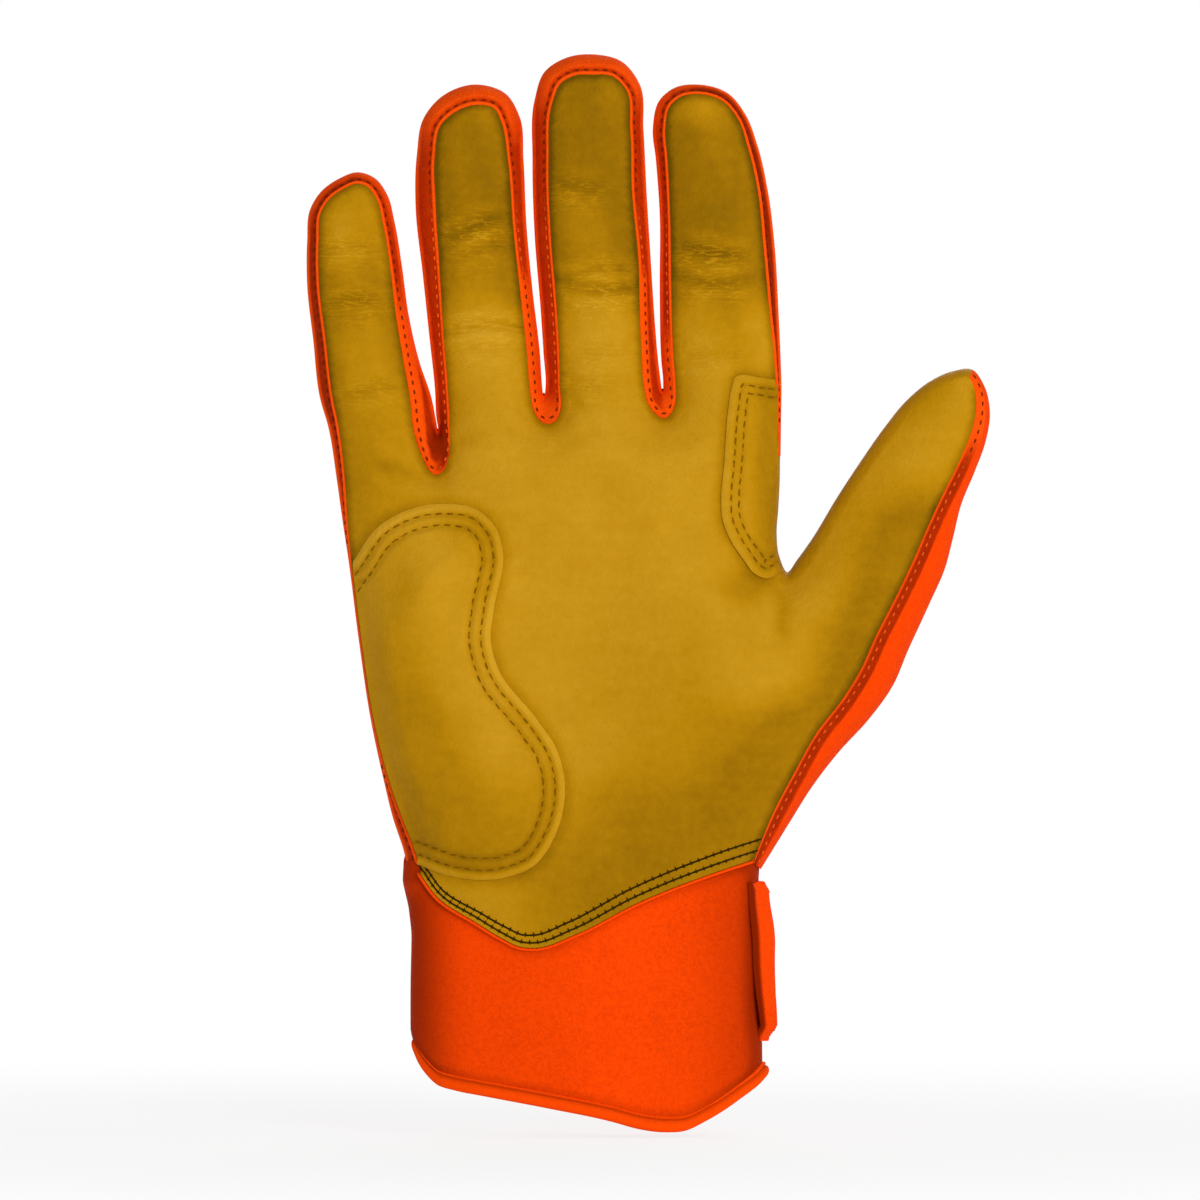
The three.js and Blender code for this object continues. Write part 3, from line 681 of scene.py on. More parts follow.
class Signal:
    """A value in a node tree; arithmetic on it adds Math nodes."""

    def __init__(self, nodes: "Nodes", socket: bpy.types.NodeSocket) -> None:
        """Keeps the tree and the socket that carries the value."""
        self.nodes = nodes
        self.socket = socket

    def __add__(self, other: "Signal | float") -> "Signal":
        """Sum of two values."""
        return self.nodes.maths("ADD", self, other)

    def __sub__(self, other: "Signal | float") -> "Signal":
        """This value less another."""
        return self.nodes.maths("SUBTRACT", self, other)

    def __rsub__(self, other: float) -> "Signal":
        """A number less this value."""
        return self.nodes.maths("SUBTRACT", other, self)

    def __mul__(self, other: "Signal | float") -> "Signal":
        """Product of two values."""
        return self.nodes.maths("MULTIPLY", self, other)


class Nodes:
    """A node tree that is built up in code."""

    def __init__(self, tree: bpy.types.NodeTree) -> None:
        """Starts from an empty tree."""
        self.tree = tree
        tree.nodes.clear()

    def node(self, kind: str, settings: dict[str, Any], inputs: dict[str | int, Any]) -> bpy.types.Node:
        """Adds a node.

        Args:
            kind: Blender's name of the node type.
            settings: Properties to set, by name.
            inputs: Signals to link or constants to set, by socket.

        Returns:
            The new node.
        """
        made = self.tree.nodes.new(kind)
        for key, value in settings.items():
            setattr(made, key, value)
        for key, value in inputs.items():
            if isinstance(value, Signal):
                self.tree.links.new(value.socket, made.inputs[key])
            else:
                made.inputs[key].default_value = value
        return made

    def signal(self, kind: str, settings: dict[str, Any], inputs: dict[str | int, Any],
               output: str | int) -> Signal:
        """Adds a node and gives one of its outputs."""
        return Signal(self, self.node(kind, settings, inputs).outputs[output])

    def maths(self, operation: str, first: Signal | float, second: Signal | float) -> Signal:
        """Adds a Math node with two values."""
        return self.signal("ShaderNodeMath", {"operation": operation}, {0: first, 1: second}, 0)

    def number(self, name: str) -> Signal:
        """A number that the mesh carries for each vertex."""
        return self.signal("ShaderNodeAttribute", {"attribute_name": name}, {}, "Fac")

    def place(self, scale: Triple = (1, 1, 1)) -> Signal:
        """The vertex's place at rest, scaled along each axis."""
        rest = self.signal("ShaderNodeAttribute", {"attribute_name": "rest"}, {}, "Vector")
        return self.signal("ShaderNodeVectorMath", {"operation": "MULTIPLY"}, {0: rest, 1: scale}, 0)

    def cloud(self, scale: float, detail: float = 2,
              stretch: Triple = (1, 1, 1)) -> Signal:
        """Soft noise; scale counts swells in a metre."""
        inputs = {"Vector": self.place(stretch), "Scale": scale, "Detail": detail}
        return self.signal("ShaderNodeTexNoise", {}, inputs, "Fac")

    def cells(self, scale: float) -> Signal:
        """Distance from the middle of a cell; scale counts cells in a metre."""
        return self.signal("ShaderNodeTexVoronoi", {}, {"Vector": self.place(), "Scale": scale}, "Distance")

    def ramp(self, value: Signal, stops: Sequence[tuple[float, Numbers]]) -> Signal:
        """Colours along a value.

        Args:
            value: The value to colour.
            stops: Values and their colours, in order.

        Returns:
            The colour.
        """
        made = self.node("ShaderNodeValToRGB", {}, {})
        elements = made.color_ramp.elements
        elements[0].position, elements[1].position = stops[0][0], stops[-1][0]
        for where, _ in stops[1:-1]:
            elements.new(where)
        for element, (_, colour) in zip(elements, stops):
            element.color = colour
        self.tree.links.new(value.socket, made.inputs["Fac"])
        return Signal(self, made.outputs["Color"])

    def blend(self, factor: Signal, first: Any, second: Any) -> Signal:
        """Mixes two colours by a factor."""
        return self.signal("ShaderNodeMix", {"data_type": "RGBA"}, {0: factor, 6: first, 7: second}, 2)

    def bump(self, height: Signal, strength: float, distance: float) -> Signal:
        """A normal that is tilted by a height in metres times distance."""
        inputs = {"Height": height, "Strength": strength, "Distance": distance}
        return self.signal("ShaderNodeBump", {}, inputs, "Normal")


def surface(name: str, build: Callable[[Nodes], dict[str, Any]]) -> bpy.types.Material:
    """Makes a material.

    Args:
        name: Name of the material.
        build: Gives the inputs of the surface shader.

    Returns:
        The material.
    """
    material = bpy.data.materials.new(name)
    material.use_nodes = True
    nodes = Nodes(material.node_tree)
    shader = nodes.signal("ShaderNodeBsdfPrincipled", {}, build(nodes), "BSDF")
    nodes.node("ShaderNodeOutputMaterial", {}, {"Surface": shader})
    return material


@dataclass(frozen=True)
class LeatherFinish:
    """Soft mustard leather with a fine grain; painted shade darkens it along its seams and in its creases."""

    # Colours of the tone ramp; the tone holds the leather's own tone together with painted shade and painted
    # highlights.
    deep: Numbers = paint(100, 72, 3)
    worn: Numbers = paint(152, 107, 5)
    plain: Numbers = paint(180, 129, 9)
    light: Numbers = paint(202, 151, 34)
    gleam: Numbers = (1.0, 0.7, 0.18, 1.0)
    stops: Numbers = (0.0, 0.35, 0.62, 1.0)
    mottle: float = 75
    speckle: float = 520
    scuff: float = 260
    scuff_stretch: Triple = (0.35, 1, 1.6)
    wrinkle_stretch: Triple = (170, 170, 1150)
    wrinkle_sharpness: float = 20
    grain: float = 1350
    pores: float = 900
    roughness: float = 0.56
    shine: float = 0.04
    relief: float = 0.35
    relief_depth: float = 0.0005

    def inputs(self, nodes: Nodes) -> dict[str, Any]:
        """Mixes the finish.

        Args:
            nodes: Node tree of the material.

        Returns:
            Inputs of the surface shader.
        """
        mottle = nodes.cloud(self.mottle, 3) - 0.5
        speckle = nodes.cloud(self.speckle, 3) - 0.5
        scuffs = nodes.cloud(self.scuff, 2, self.scuff_stretch) - 0.5
        # Thin wrinkle lines near the creases: raised in the bump, and lighter as a painted highlight.
        fine = nodes.maths("ABSOLUTE", nodes.cloud(1, 3, self.wrinkle_stretch) - 0.5, 0)
        lines = nodes.maths("MAXIMUM", 1 - fine * self.wrinkle_sharpness, 0) * nodes.number("wrinkle_and_highlight_zone")
        tone = nodes.number("tone") + mottle * 0.26 + speckle * 0.2 + scuffs * 0.1 + lines * 0.4
        # The edge number paints shade along the seams.
        tone = tone - nodes.number("edge") * 0.4
        colours = (self.deep, self.worn, self.plain, self.light)
        height = nodes.cells(self.grain) * 0.6 + nodes.cloud(self.pores) * 0.5 + scuffs * 0.3 + lines * 0.5
        return {
            "Base Color": nodes.ramp(tone, tuple(zip(self.stops, colours))),
            "Roughness": self.roughness - mottle * 0.15,
            "Specular IOR Level": self.shine,
            "Specular Tint": self.gleam,
            "Normal": nodes.bump(height, self.relief, self.relief_depth),
        }


@dataclass(frozen=True)
class BandFinish:
    """Fine bright orange knit with raised rims; between the rims it takes painted shade in dark red, and in
    places deep red.
    """

    # deep and dark are painted shade on the cloth; bright is its own orange.
    deep: Numbers = paint(130, 30, 2)
    dark: Numbers = paint(188, 48, 4)
    bright: Numbers = paint(255, 84, 10)
    stops: Numbers = (0.0, 0.34, 0.86)
    weave: float = 2100
    mottle: float = 420
    rim_gain: float = 0.55
    roughness: float = 0.8
    shine: float = 0.06
    relief: float = 0.5
    relief_depth: float = 0.0004

    def inputs(self, nodes: Nodes) -> dict[str, Any]:
        """Mixes the finish.

        Args:
            nodes: Node tree of the material.

        Returns:
            Inputs of the surface shader.
        """
        weave = nodes.cells(self.weave)
        # The rim number keeps the rims and the bright sides orange; lower numbers take the painted shade.
        shade = nodes.number("rim") * self.rim_gain + self.stops[1] + (nodes.cloud(self.mottle) - 0.5) * 0.25
        return {
            "Base Color": nodes.ramp(shade, tuple(zip(self.stops, (self.deep, self.dark, self.bright)))),
            "Roughness": self.roughness - weave * 0.05,
            "Specular IOR Level": self.shine,
            "Specular Tint": self.bright,
            "Normal": nodes.bump(weave, self.relief, self.relief_depth),
        }


@dataclass(frozen=True)
class ClothFinish:
    """Matt cloth in one colour with a fine knit."""

    colour: Numbers
    shade: Numbers
    scale: float = 1500
    relief: float = 0.35
    roughness: float = 0.8
    shine: float = 0.05
    stops: Numbers = (0.1, 0.6)
    # Colour of the painted shade, as a share of the shade colour.
    deep: Numbers = (0.28, 0.3, 0.3, 1.0)
    relief_depth: float = 0.0005

    def inputs(self, nodes: Nodes) -> dict[str, Any]:
        """Mixes the finish.

        Args:
            nodes: Node tree of the material.

        Returns:
            Inputs of the surface shader.
        """
        knit = nodes.cells(self.scale)
        tone = nodes.cloud(60) * 0.3 + nodes.cloud(900) * 0.6 + knit * 0.3 - 0.1
        colour = nodes.ramp(tone, tuple(zip(self.stops, (self.shade, self.colour))))
        deep = tuple(share * part for share, part in zip(self.shade, self.deep))
        return {
            # The fold number mixes in the deep colour: painted shade on the cuff, the strap's root, the hem's
            # groove and the back, and darker thread on stitches.
            "Base Color": nodes.blend(nodes.number("fold"), colour, deep),
            "Roughness": self.roughness - knit * 0.04,
            "Specular IOR Level": self.shine,
            "Specular Tint": self.colour,
            "Normal": nodes.bump(knit, self.relief, self.relief_depth),
        }


THREAD_KNIT = (4000, 0.3)


def cloth(name: str, colour: tuple[int, ...], shade: tuple[int, ...], *knit: float) -> bpy.types.Material:
    """Makes a cloth of two screen colours; knit gives stitches in a metre, relief and roughness."""
    return surface(name, ClothFinish(paint(*colour), paint(*shade), *knit).inputs)


class Finishes:
    """The materials, by use."""

    def __init__(self) -> None:
        """Makes every material once."""
        self.leather = surface("leather", LeatherFinish().inputs)
        self.band = surface("band_cloth", BandFinish().inputs)
        self.stretch = cloth("stretch_cloth", (246, 69, 4), (226, 58, 3))
        self.cuff = cloth("cuff_cloth", (253, 72, 4), (220, 56, 3), 1900, 0.2, 0.72)
        self.binding = cloth("binding", (252, 76, 5), (240, 67, 4), 2400, 0.15)
        self.pile = cloth("hook_and_loop", (214, 62, 6), (160, 42, 4), 900, 1.0, 0.95)
        self.rubber = cloth("soft_rubber", (208, 52, 6), (192, 46, 5), 3000, 0.05, 0.5)
        self.foam = cloth("foam", (216, 206, 168), (190, 178, 140), 1200, 0.8, 0.95)
        self.brown_thread = cloth("brown_thread", (134, 93, 8), (108, 73, 5), *THREAD_KNIT)
        self.black_thread = cloth("black_thread", (52, 38, 6), (36, 26, 4), *THREAD_KNIT)
        self.red_thread = cloth("red_thread", (118, 26, 6), (92, 18, 4), *THREAD_KNIT)
        self.orange_thread = cloth("orange_thread", (240, 94, 28), (214, 72, 16), *THREAD_KNIT)


# Attaching pieces

STRAP_ROOT = "strap_root"
STRAP_BEND = (-3.0, 9.0)


def along_thumb(reach: float) -> Triple:
    """A place along the thumb's direction, in metres."""
    return (reach * math.sin(THUMB_TILT) * MM, 0.0, reach * math.cos(THUMB_TILT) * MM)


def carry(piece: bpy.types.Object, body: str) -> None:
    """Makes a piece follow a body; a finger's or the thumb's piece bends at its root.

    Args:
        piece: The piece.
        body: Name of the body.
    """
    if body == STRAP_ROOT:
        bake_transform(piece, "hand", "wrist_strap", *((0, y * MM, 0) for y in STRAP_BEND))
    elif body in FINGER_BENDS:
        bend = FINGER_BENDS[body]
        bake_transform(piece, "hand", body, (0, 0, bend * MM), (0, 0, (bend + FINGER_BEND_LENGTH) * MM))
    elif body == "thumb":
        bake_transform(piece, "hand", body, along_thumb(THUMB_BEND), along_thumb(THUMB_BEND + THUMB_BEND_LENGTH))
    else:
        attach(piece, body)


def dress(piece: bpy.types.Object, material: bpy.types.Material, slot: str, body: str,
          *nodes: str) -> bpy.types.Object:
    """Gives a piece its finish and its body.

    Args:
        piece: The piece.
        material: Its material.
        slot: Material slot of the record; not used.
        body: Body that carries it.
        nodes: CAD nodes that it stands for.

    Returns:
        The piece.
    """
    piece.data.materials.append(material)
    carry(piece, body)
    if nodes:
        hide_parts(*nodes)
    LOG.info("%s: %d faces on %s", piece.name, len(piece.data.polygons), body)
    return piece


# Stitching

@dataclass(frozen=True)
class Thread:
    """Sizes of a row of stitches."""

    length: float
    radius: float
    pitch: float


BEAD_SIDES = 6
BEAD_RINGS = ((-0.34, 0.8), (0.0, 1.0), (0.34, 0.8))


def bead() -> tuple[Array, list[tuple[int, ...]]]:
    """A small pointed bead, a stitch's length long and a thread's radius thick.

    Returns:
        Its vertices, as along, aside and up, and its faces.
    """
    angles = np.arange(BEAD_SIDES) * 2 * math.pi / BEAD_SIDES
    points = [(-0.5, 0, 0)]
    for share, width in BEAD_RINGS:
        points += [(share, width * math.cos(a), width * math.sin(a)) for a in angles]
    points.append((0.5, 0, 0))
    end = len(points) - 1
    around = [(i, (i + 1) % BEAD_SIDES) for i in range(BEAD_SIDES)]
    faces = [(0, 1 + j, 1 + i) for i, j in around]
    for ring in range(1, end - BEAD_SIDES, BEAD_SIDES):
        faces += [(ring + i, ring + j, ring + BEAD_SIDES + j, ring + BEAD_SIDES + i) for i, j in around]
    faces += [(end, end - BEAD_SIDES + i, end - BEAD_SIDES + j) for i, j in around]
    return np.array(points), faces


@dataclass
class Stitches:
    """Places and directions of stitches."""

    centres: Array
    along: Array
    up: Array
    shade: Array | None = None

    @classmethod
    def on_line(cls, line: Array, normals: Array, pitch: float) -> "Stitches":
        """Spaces stitches along a line.

        Args:
            line: Points of the line.
            normals: Surface normal at each point.
            pitch: Distance from one stitch to the next.

        Returns:
            The stitches.
        """
        gone = travel(line)
        count = max(1, int(gone[-1] / pitch))
        where = (np.arange(count) + 0.5) * gone[-1] / count

        def at(places: Array, rows: Array) -> Array:
            """Rows read at distances along the line."""
            return np.stack([np.interp(places, gone, rows[:, i]) for i in range(3)], 1)

        along = at(where + pitch / 3, line) - at(where - pitch / 3, line)
        return cls(at(where, line), along, at(where, normals))

    @classmethod
    def facing(cls, line: Array, side: int, pitch: float) -> "Stitches":
        """Stitches along a line on the palm's side, -1, or on the back's, 1."""
        return cls.on_line(line, np.tile((0.0, float(side), 0.0), (len(line), 1)), pitch)

    @classmethod
    def join(cls, rows: Sequence["Stitches"]) -> "Stitches":
        """Several rows of stitches as one."""
        parts = zip(*((row.centres, row.along, row.up) for row in rows))
        return cls(*(np.concatenate(part) for part in parts))

    def across(self, shift: float) -> "Stitches":
        """The same stitches turned across their line and moved to one side."""
        side = unit(np.cross(self.along, self.up))
        return Stitches(self.centres + side * shift, side, self.up)

    def chosen(self, keep: Array) -> "Stitches":
        """Some of the stitches."""
        return Stitches(self.centres[keep], self.along[keep], self.up[keep])

    def mesh(self, name: str, thread: Thread) -> bpy.types.Object:
        """Makes one object of all stitches, each a bead.

        Args:
            name: Name of the piece.
            thread: Sizes.

        Returns:
            The new object.
        """
        along = unit(self.along)
        up = unit(self.up - along * (self.up * along).sum(axis=1, keepdims=True))
        side = np.cross(up, along)
        beads, faces = bead()
        lengths, asides, ups = (beads * (thread.length, thread.radius, thread.radius)).T[:, None, :, None]
        points = self.centres[:, None] + along[:, None] * lengths + side[:, None] * asides + up[:, None] * ups
        offsets = np.arange(len(self.centres)) * len(beads)
        every = [tuple(index + offset for index in face) for offset in offsets for face in faces]
        attributes = {} if self.shade is None else {"fold": np.repeat(self.shade, len(beads))}
        return write_mesh(name, points.reshape(-1, 3), every, None, attributes)


# The leather front and the stretch back

@dataclass(frozen=True)
class Crease:
    """A fold line: its middle, half length, tilt in degrees, depth and half width."""

    x: float
    z: float
    reach: float
    tilt: float
    depth: float
    width: float

    def groove(self, flat: Array) -> tuple[Array, Array]:
        """Strength of the fold and of the swells beside it at flat places.

        Args:
            flat: Flat places.

        Returns:
            Fold and swell, from 0 to 1.
        """
        turn = math.radians(self.tilt)
        dx, dz = flat[:, 0] - self.x, flat[:, 1] - self.z
        along = dx * math.cos(turn) + dz * math.sin(turn)
        bow = 0.02 * along ** 2 * math.copysign(1, self.tilt)
        off = (dz * math.cos(turn) - dx * math.sin(turn) + bow) / self.width
        fade = smoothstep(self.reach, 0.35 * self.reach, np.abs(along))
        fold = np.exp(-off ** 2) * fade
        swell = np.exp(-((np.abs(off) - 2.0) / 1.2) ** 2) * fade
        return fold, swell


@dataclass(frozen=True)
class Patch:
    """A soft round patch of other tone or height: its middle, half width, half height and change."""

    x: float
    z: float
    wide: float
    high: float
    change: float

    def at(self, flat: Array) -> Array:
        """The change at flat places; it fades out towards the patch's edge."""
        reach = np.hypot((flat[:, 0] - self.x) / self.wide, (flat[:, 1] - self.z) / self.high)
        return self.change * smoothstep(1, 0, reach)


# Patches of painted shade and painted highlight, with some of the leather's own tone: lighter on the fingertips
# and on a streak across the thenar, darker low on the palm, beside the thumb and on the upper fingers.
PALM_SHADES = tuple(Patch(*row) for row in (
    (-56, 193, 14, 12, -0.26), (-56, 213, 12, 12, 0.12), (-47, 153, 18, 15, -0.1),
    (-27, 211, 13, 12, -0.08), (-28, 238, 11, 7, 0.16), (2, 172, 12, 6, -0.1), (0, 220, 13, 9, -0.12),
    (29, 206, 13, 26, -0.18), (25, 238, 11, 7, 0.24), (44, 107, 24, 13, 0.1), (46, 82, 34, 22, -0.36),
    (26, 90, 40, 40, -0.18), (12, 56, 52, 32, -0.46), (64, 110, 16, 26, -0.22), (70, 137, 17, 22, -0.2),
    (80, 164, 16, 18, -0.06), (36, 127, 10, 8, -0.3), (44.5, 120, 3.5, 9, -0.14), (-52, 172, 14, 18, -0.06),
    (30, 184, 12, 14, -0.1), (48, 114, 10, 12, -0.12), (12, 76, 22, 14, -0.14), (1, 231, 13, 17, -0.14),
    (27, 221, 13, 16, -0.09),
))
PALM_CREASES = tuple(Crease(*row) for row in (
    (-26.7, 210.5, 10, 24, 0.9, 1.5), (-26, 205, 8, 14, 0.4, 1.2), (-24.4, 187.5, 15, 3, 0.9, 1.2),
    (-23.5, 181.5, 8, -4, 0.35, 1.2), (-3, 219.5, 8, -6, 0.6, 1.6), (2.3, 200.4, 13, 4, 0.6, 1),
    (2.3, 195.6, 16, -2, 1, 1.4), (2.3, 181.7, 9, 3, 0.4, 1.6), (27.8, 204, 10, -10, 0.95, 1.5),
    (28.4, 197, 14, -3, 0.7, 1.3), (28, 181, 8, 3, 0.4, 1.6), (-54.7, 193.5, 7, 7, 0.7, 1.3),
    (-57, 206, 6, 12, 0.6, 1.3), (-51, 172.5, 8, 12, 0.5, 1.6), (-30.5, 160, 7, 30, 0.4, 1.6),
    (-46, 154, 8, -20, 0.5, 1.8), (-4, 160.5, 8, 20, 0.25, 1.8), (-16.5, 161.5, 7, -24, 0.25, 1.7),
    (10.5, 160.5, 8, -22, 0.2, 1.8), (22.5, 161, 7, 25, 0.2, 1.7), (-2, 174, 6, -28, 0.45, 1.3),
    (-2.5, 169.4, 6, -45, 0.35, 1.5), (44.3, 120, 8, 85, 0.35, 1.8),
))
KNUCKLES = (
    (-54.5, (186, 190, 194)), (-26.3, (198, 202.5, 207)), (0.4, (203, 208, 213)), (29.5, (198, 202.5, 207)),
)
BACK_CREASES = tuple(Crease(x, z, 11, 0.1, 0.55, 0.8) for x, levels in KNUCKLES for z in levels)
THUMB_SEAM = ((46, 131), (43, 115), (39, 95), (35, 76), (32.6, 63))
THUMB_ROOT = Fade(1, 46, 54, across=True)


@dataclass(frozen=True)
class Rise:
    """How high a panel swells between its seams: on the hand, with its changes, and on the thumb."""

    hand: float
    changes: tuple[Fade | Patch, ...]
    thumb: float
    thumb_share: Fade

    def at(self, flat: Array) -> Array:
        """Height at flat places."""
        height = self.hand + sum(change.at(flat) for change in self.changes)
        return height + (self.thumb - height) * THUMB_ROOT.at(flat) * self.thumb_share.at(flat)


FRONT_RISE = Rise(12.5, (
    Fade(-1.6, 158, 178), Fade(3.0, 76, 62), Patch(30, 106, 30, 34, 3.2), Patch(-33, 95, 20, 42, 1.5),
    Patch(0, 114, 24, 26, -2.0),
), 11.5, Fade(1, 118, 134))
BACK_RISE = Rise(12.0, (Fade(-2.4, 156, 180), Fade(3.5, 78, 64)), 9.6, Fade(1, 112, 130))


@dataclass(frozen=True)
class Tones:
    """Tone of the leather, from 0 for deep to 1 for light, and what changes it: the leather's own tone, painted
    shade and painted highlights.
    """

    palm: float = 0.79
    finger_tops: tuple[Fade, Fade] = (Fade(-0.36, 186, 200), Fade(1, -46, -40, across=True))
    little_finger: Fade = Fade(-0.16, -38, -46, across=True)
    # Painted shade near the panel's border, along the seams on the left side of each finger and beside the
    # thumb's strip low on the thumb, and a painted shadow round the heel pad and the web patch.
    seams: Fade = Fade(-0.07, 7, 0)
    left_seam_shade: tuple[Fade, Fade] = (Fade(-0.13, 6, 0), Fade(1, 160, 170))
    strip: tuple[Fade, Fade] = (Fade(-0.34, 17, 3), Fade(1, 158, 140))
    overlays: Fade = Fade(-0.24, 3.0, 0)
    least: float = 0.39
    least_change: Fade = Fade(-0.11, 192, 206)
    # Painted shade in each crease and a painted highlight on the swells beside it.
    fold: float = -0.17
    swell: float = 0.12

    def at(self, flat: Array, away: Array, outline: Outline) -> Array:
        """Tone at flat places, without the creases.

        Args:
            flat: Flat places.
            away: Their distance from the panel's border.
            outline: The glove's outline.

        Returns:
            One tone for each place.
        """
        tops, past_little = self.finger_tops
        tone = self.palm + tops.at(flat) * past_little.at(flat) + self.little_finger.at(flat)
        tone += self.seams.of(away)
        left = outline.seam[outline.edge[:, 0] < outline.seam[:, 0] - 1.2]
        strip = np.concatenate([outline.seam[span] for span in outline.spans(EdgeKind.STRIP)])
        for line, (change, share) in ((left, self.left_seam_shade), (strip, self.strip)):
            tone += change.of(distance_to(line, flat)) * share.at(flat)
        tone += sum(patch.at(flat) for patch in PALM_SHADES)
        tone = np.maximum(tone, self.least + self.least_change.at(flat))
        for border in (HEEL_PAD, WEB_PATCH):
            tone += self.overlays.of(distance_to(curve_through(border, 2.0), flat))
        return tone


def uneven(points: Array, swells: Sequence[Triple]) -> Array:
    """Unevenness at places, from swells of a depth, a width and a seed."""
    return sum(depth * ripple(points, size, seed) for depth, size, seed in swells)


def join_rows(points: Array, faces: Array, rows: Array, shared: Array, first: bool) -> tuple[Array, Array]:
    """Joins a strip of rows to a panel along vertices that they share.

    Args:
        points: The panel's vertices.
        faces: The panel's triangles.
        rows: New vertices, as rows by columns by coordinates.
        shared: The panel's vertices along the strip.
        first: True where the shared row comes before the new rows.

    Returns:
        Vertices and triangles of both.
    """
    count, columns = rows.shape[:2]
    new = len(points) + np.arange(count * columns).reshape(count, columns)
    order = (shared[None], new) if first else (new, shared[None])
    ids = np.concatenate(order).ravel()
    strip = ids[grid_faces(count + 1, columns)]
    return np.concatenate([points, rows.reshape(-1, 3)]), np.concatenate([faces, strip])


ROUND_SHARES = np.linspace(1, 0, 9) ** 2


@dataclass
class Panels:
    """The leather front and the stretch back, each one skin that is cut where fingers and thumb bend."""

    outline: Outline
    cuff: "Cuff"
    finishes: Finishes
    tones: Tones = Tones()
    reach: float = 8.0
    free: Fade = Fade(1, 0, 3)
    front_swells: tuple[Triple, ...] = ((0.35, 14, 3.1), (0.14, 5, 8.7))
    back_swells: tuple[Triple, ...] = ((0.4, 18, 5.3), (0.12, 6, 1.9))
    # Size of the wrinkle zone near each crease and the heights where it comes in; its lines get a painted
    # highlight.
    wrinkle_zone_size: Pair = (13, 8)
    wrinkle_zone_height: Fade = Fade(1, 162, 172)
    seam_shade_fade: Fade = Fade(1, 1.8, 0.0)
    wrap_clearance: Fade = Fade(1, 1, 4)
    back_shade: Fade = Fade(0.24, 8, 0)
    thumb_groove: Pair = (0.6, 0.9)
    thumb_panel_top: float = CROTCH[1] + 4
    thread: Thread = Thread(1.7, 0.2, 2.5)
    back_row: float = 1.4
    seam_row: float = 1.7
    seam_row_top: float = 126.0
    hem_row_ends: Pair = (36.5, -38.0)
    front: Skin | None = None
    back: Skin | None = None

    def strip_share(self, columns: slice) -> Array:
        """Share of the way from the outline to the leather where the stitched strip ends."""
        return 1 - np.minimum(STRIP_WIDTH / self.outline.inset[columns], 0.62)

    def stretched(self, seam: Array, depth: Array, hem: Array, wall: float,
                  rise: Rise) -> tuple[Array, Array, Array, Array]:
        """Fills a seam and a hem with a skin that is held at both.

        Args:
            seam: The seam's flat points.
            depth: The seam's depth from the edge line.
            hem: The hem's flat points; it lies on the cuff.
            wall: Thickness of the skin.
            rise: How high the skin swells.

        Returns:
            Flat places, triangles, heights and distances from the border.
        """
        border = np.concatenate([seam, hem])
        flat, faces = triangulate(border, PANEL_STEP)
        edge = np.zeros(len(flat))
        edge[:len(border)] = np.concatenate([depth, self.cuff.depth(hem) + wall])
        fixed = np.arange(len(flat)) < len(border)
        height = membrane(faces, fixed, edge, rise.at(flat), PANEL_STEP, self.reach)
        return flat, faces, height, distance_to(closed(border), flat)

    def build_front(self) -> None:
        """Shapes the leather."""
        outline, tones = self.outline, self.tones
        held = (outline.seam, outline.seam_depth, curve_through(PALM_HEM, EDGE_STEP))
        flat, faces, height, away = self.stretched(*held, LEATHER_WALL, FRONT_RISE)
        x, z = flat.T
        free = self.free.of(away)
        tone = tones.at(flat, away, outline)
        wrinkle_and_highlight_zone = np.zeros(len(flat))
        for crease in PALM_CREASES:
            fold, swell = crease.groove(flat)
            height += free * 0.75 * crease.depth * (0.45 * swell - fold)
            # Painted shade in the crease and a painted highlight on the swells beside it.
            tone += crease.depth * (tones.swell * swell + tones.fold * fold)
            # The wrinkle zone near this crease, whose raised lines the finish lights with a painted highlight.
            worn = Patch(crease.x, crease.z - 1.5, *self.wrinkle_zone_size, 1.2 * crease.depth)
            wrinkle_and_highlight_zone = np.maximum(wrinkle_and_highlight_zone, worn.at(flat))
        wrinkle_and_highlight_zone *= self.wrinkle_zone_height.at(flat)
        height += free * uneven(np.stack([x, -height, z], 1), self.front_swells)
        points = np.stack([x, -height, z], 1)
        wraps = outline.spans(EdgeKind.LEATHER)
        for span in wraps:
            rows = np.concatenate([
                outline.across(span, ROUND_SHARES[1:], -1), outline.across(span, ROUND_SHARES[-2::-1], 1)])
            points, faces = join_rows(points, faces, rows, np.arange(span.start, span.stop), True)
        # Painted shade along the seams, kept off where the leather wraps the edge; it goes out as the edge
        # number.
        near = self.seam_shade_fade.of(distance_to(outline.seam, flat))
        low, high = min(span.start for span in wraps), max(span.stop for span in wraps)
        near *= self.wrap_clearance.of(distance_to(outline.seam[low:high], flat))
        extra = (0, len(points) - len(flat))
        self.front = Skin(points, faces, {
            "tone": np.pad(tone, extra, constant_values=0.6), "edge": np.pad(near, extra),
            "wrinkle_and_highlight_zone": np.pad(wrinkle_and_highlight_zone, extra)})

    def build_back(self) -> None:
        """Shapes the back."""
        outline = self.outline
        first, last = BACK_HEM_ENDS
        hem = curve_through([(first, BACK_HEM), (0.0, BACK_HEM), (last, BACK_HEM)], EDGE_STEP)
        held = (outline.back, outline.back_depth, hem)
        flat, faces, height, away = self.stretched(*held, CLOTH_WALL, BACK_RISE)
        x, z = flat.T
        free = self.free.of(away)
        seam = np.array(THUMB_SEAM)
        sewn = [outline.back[span] for span in outline.spans(EdgeKind.BAND, EdgeKind.LEATHER)]
        near = np.minimum.reduce([distance_to(line, flat) for line in (*sewn, hem, seam)])
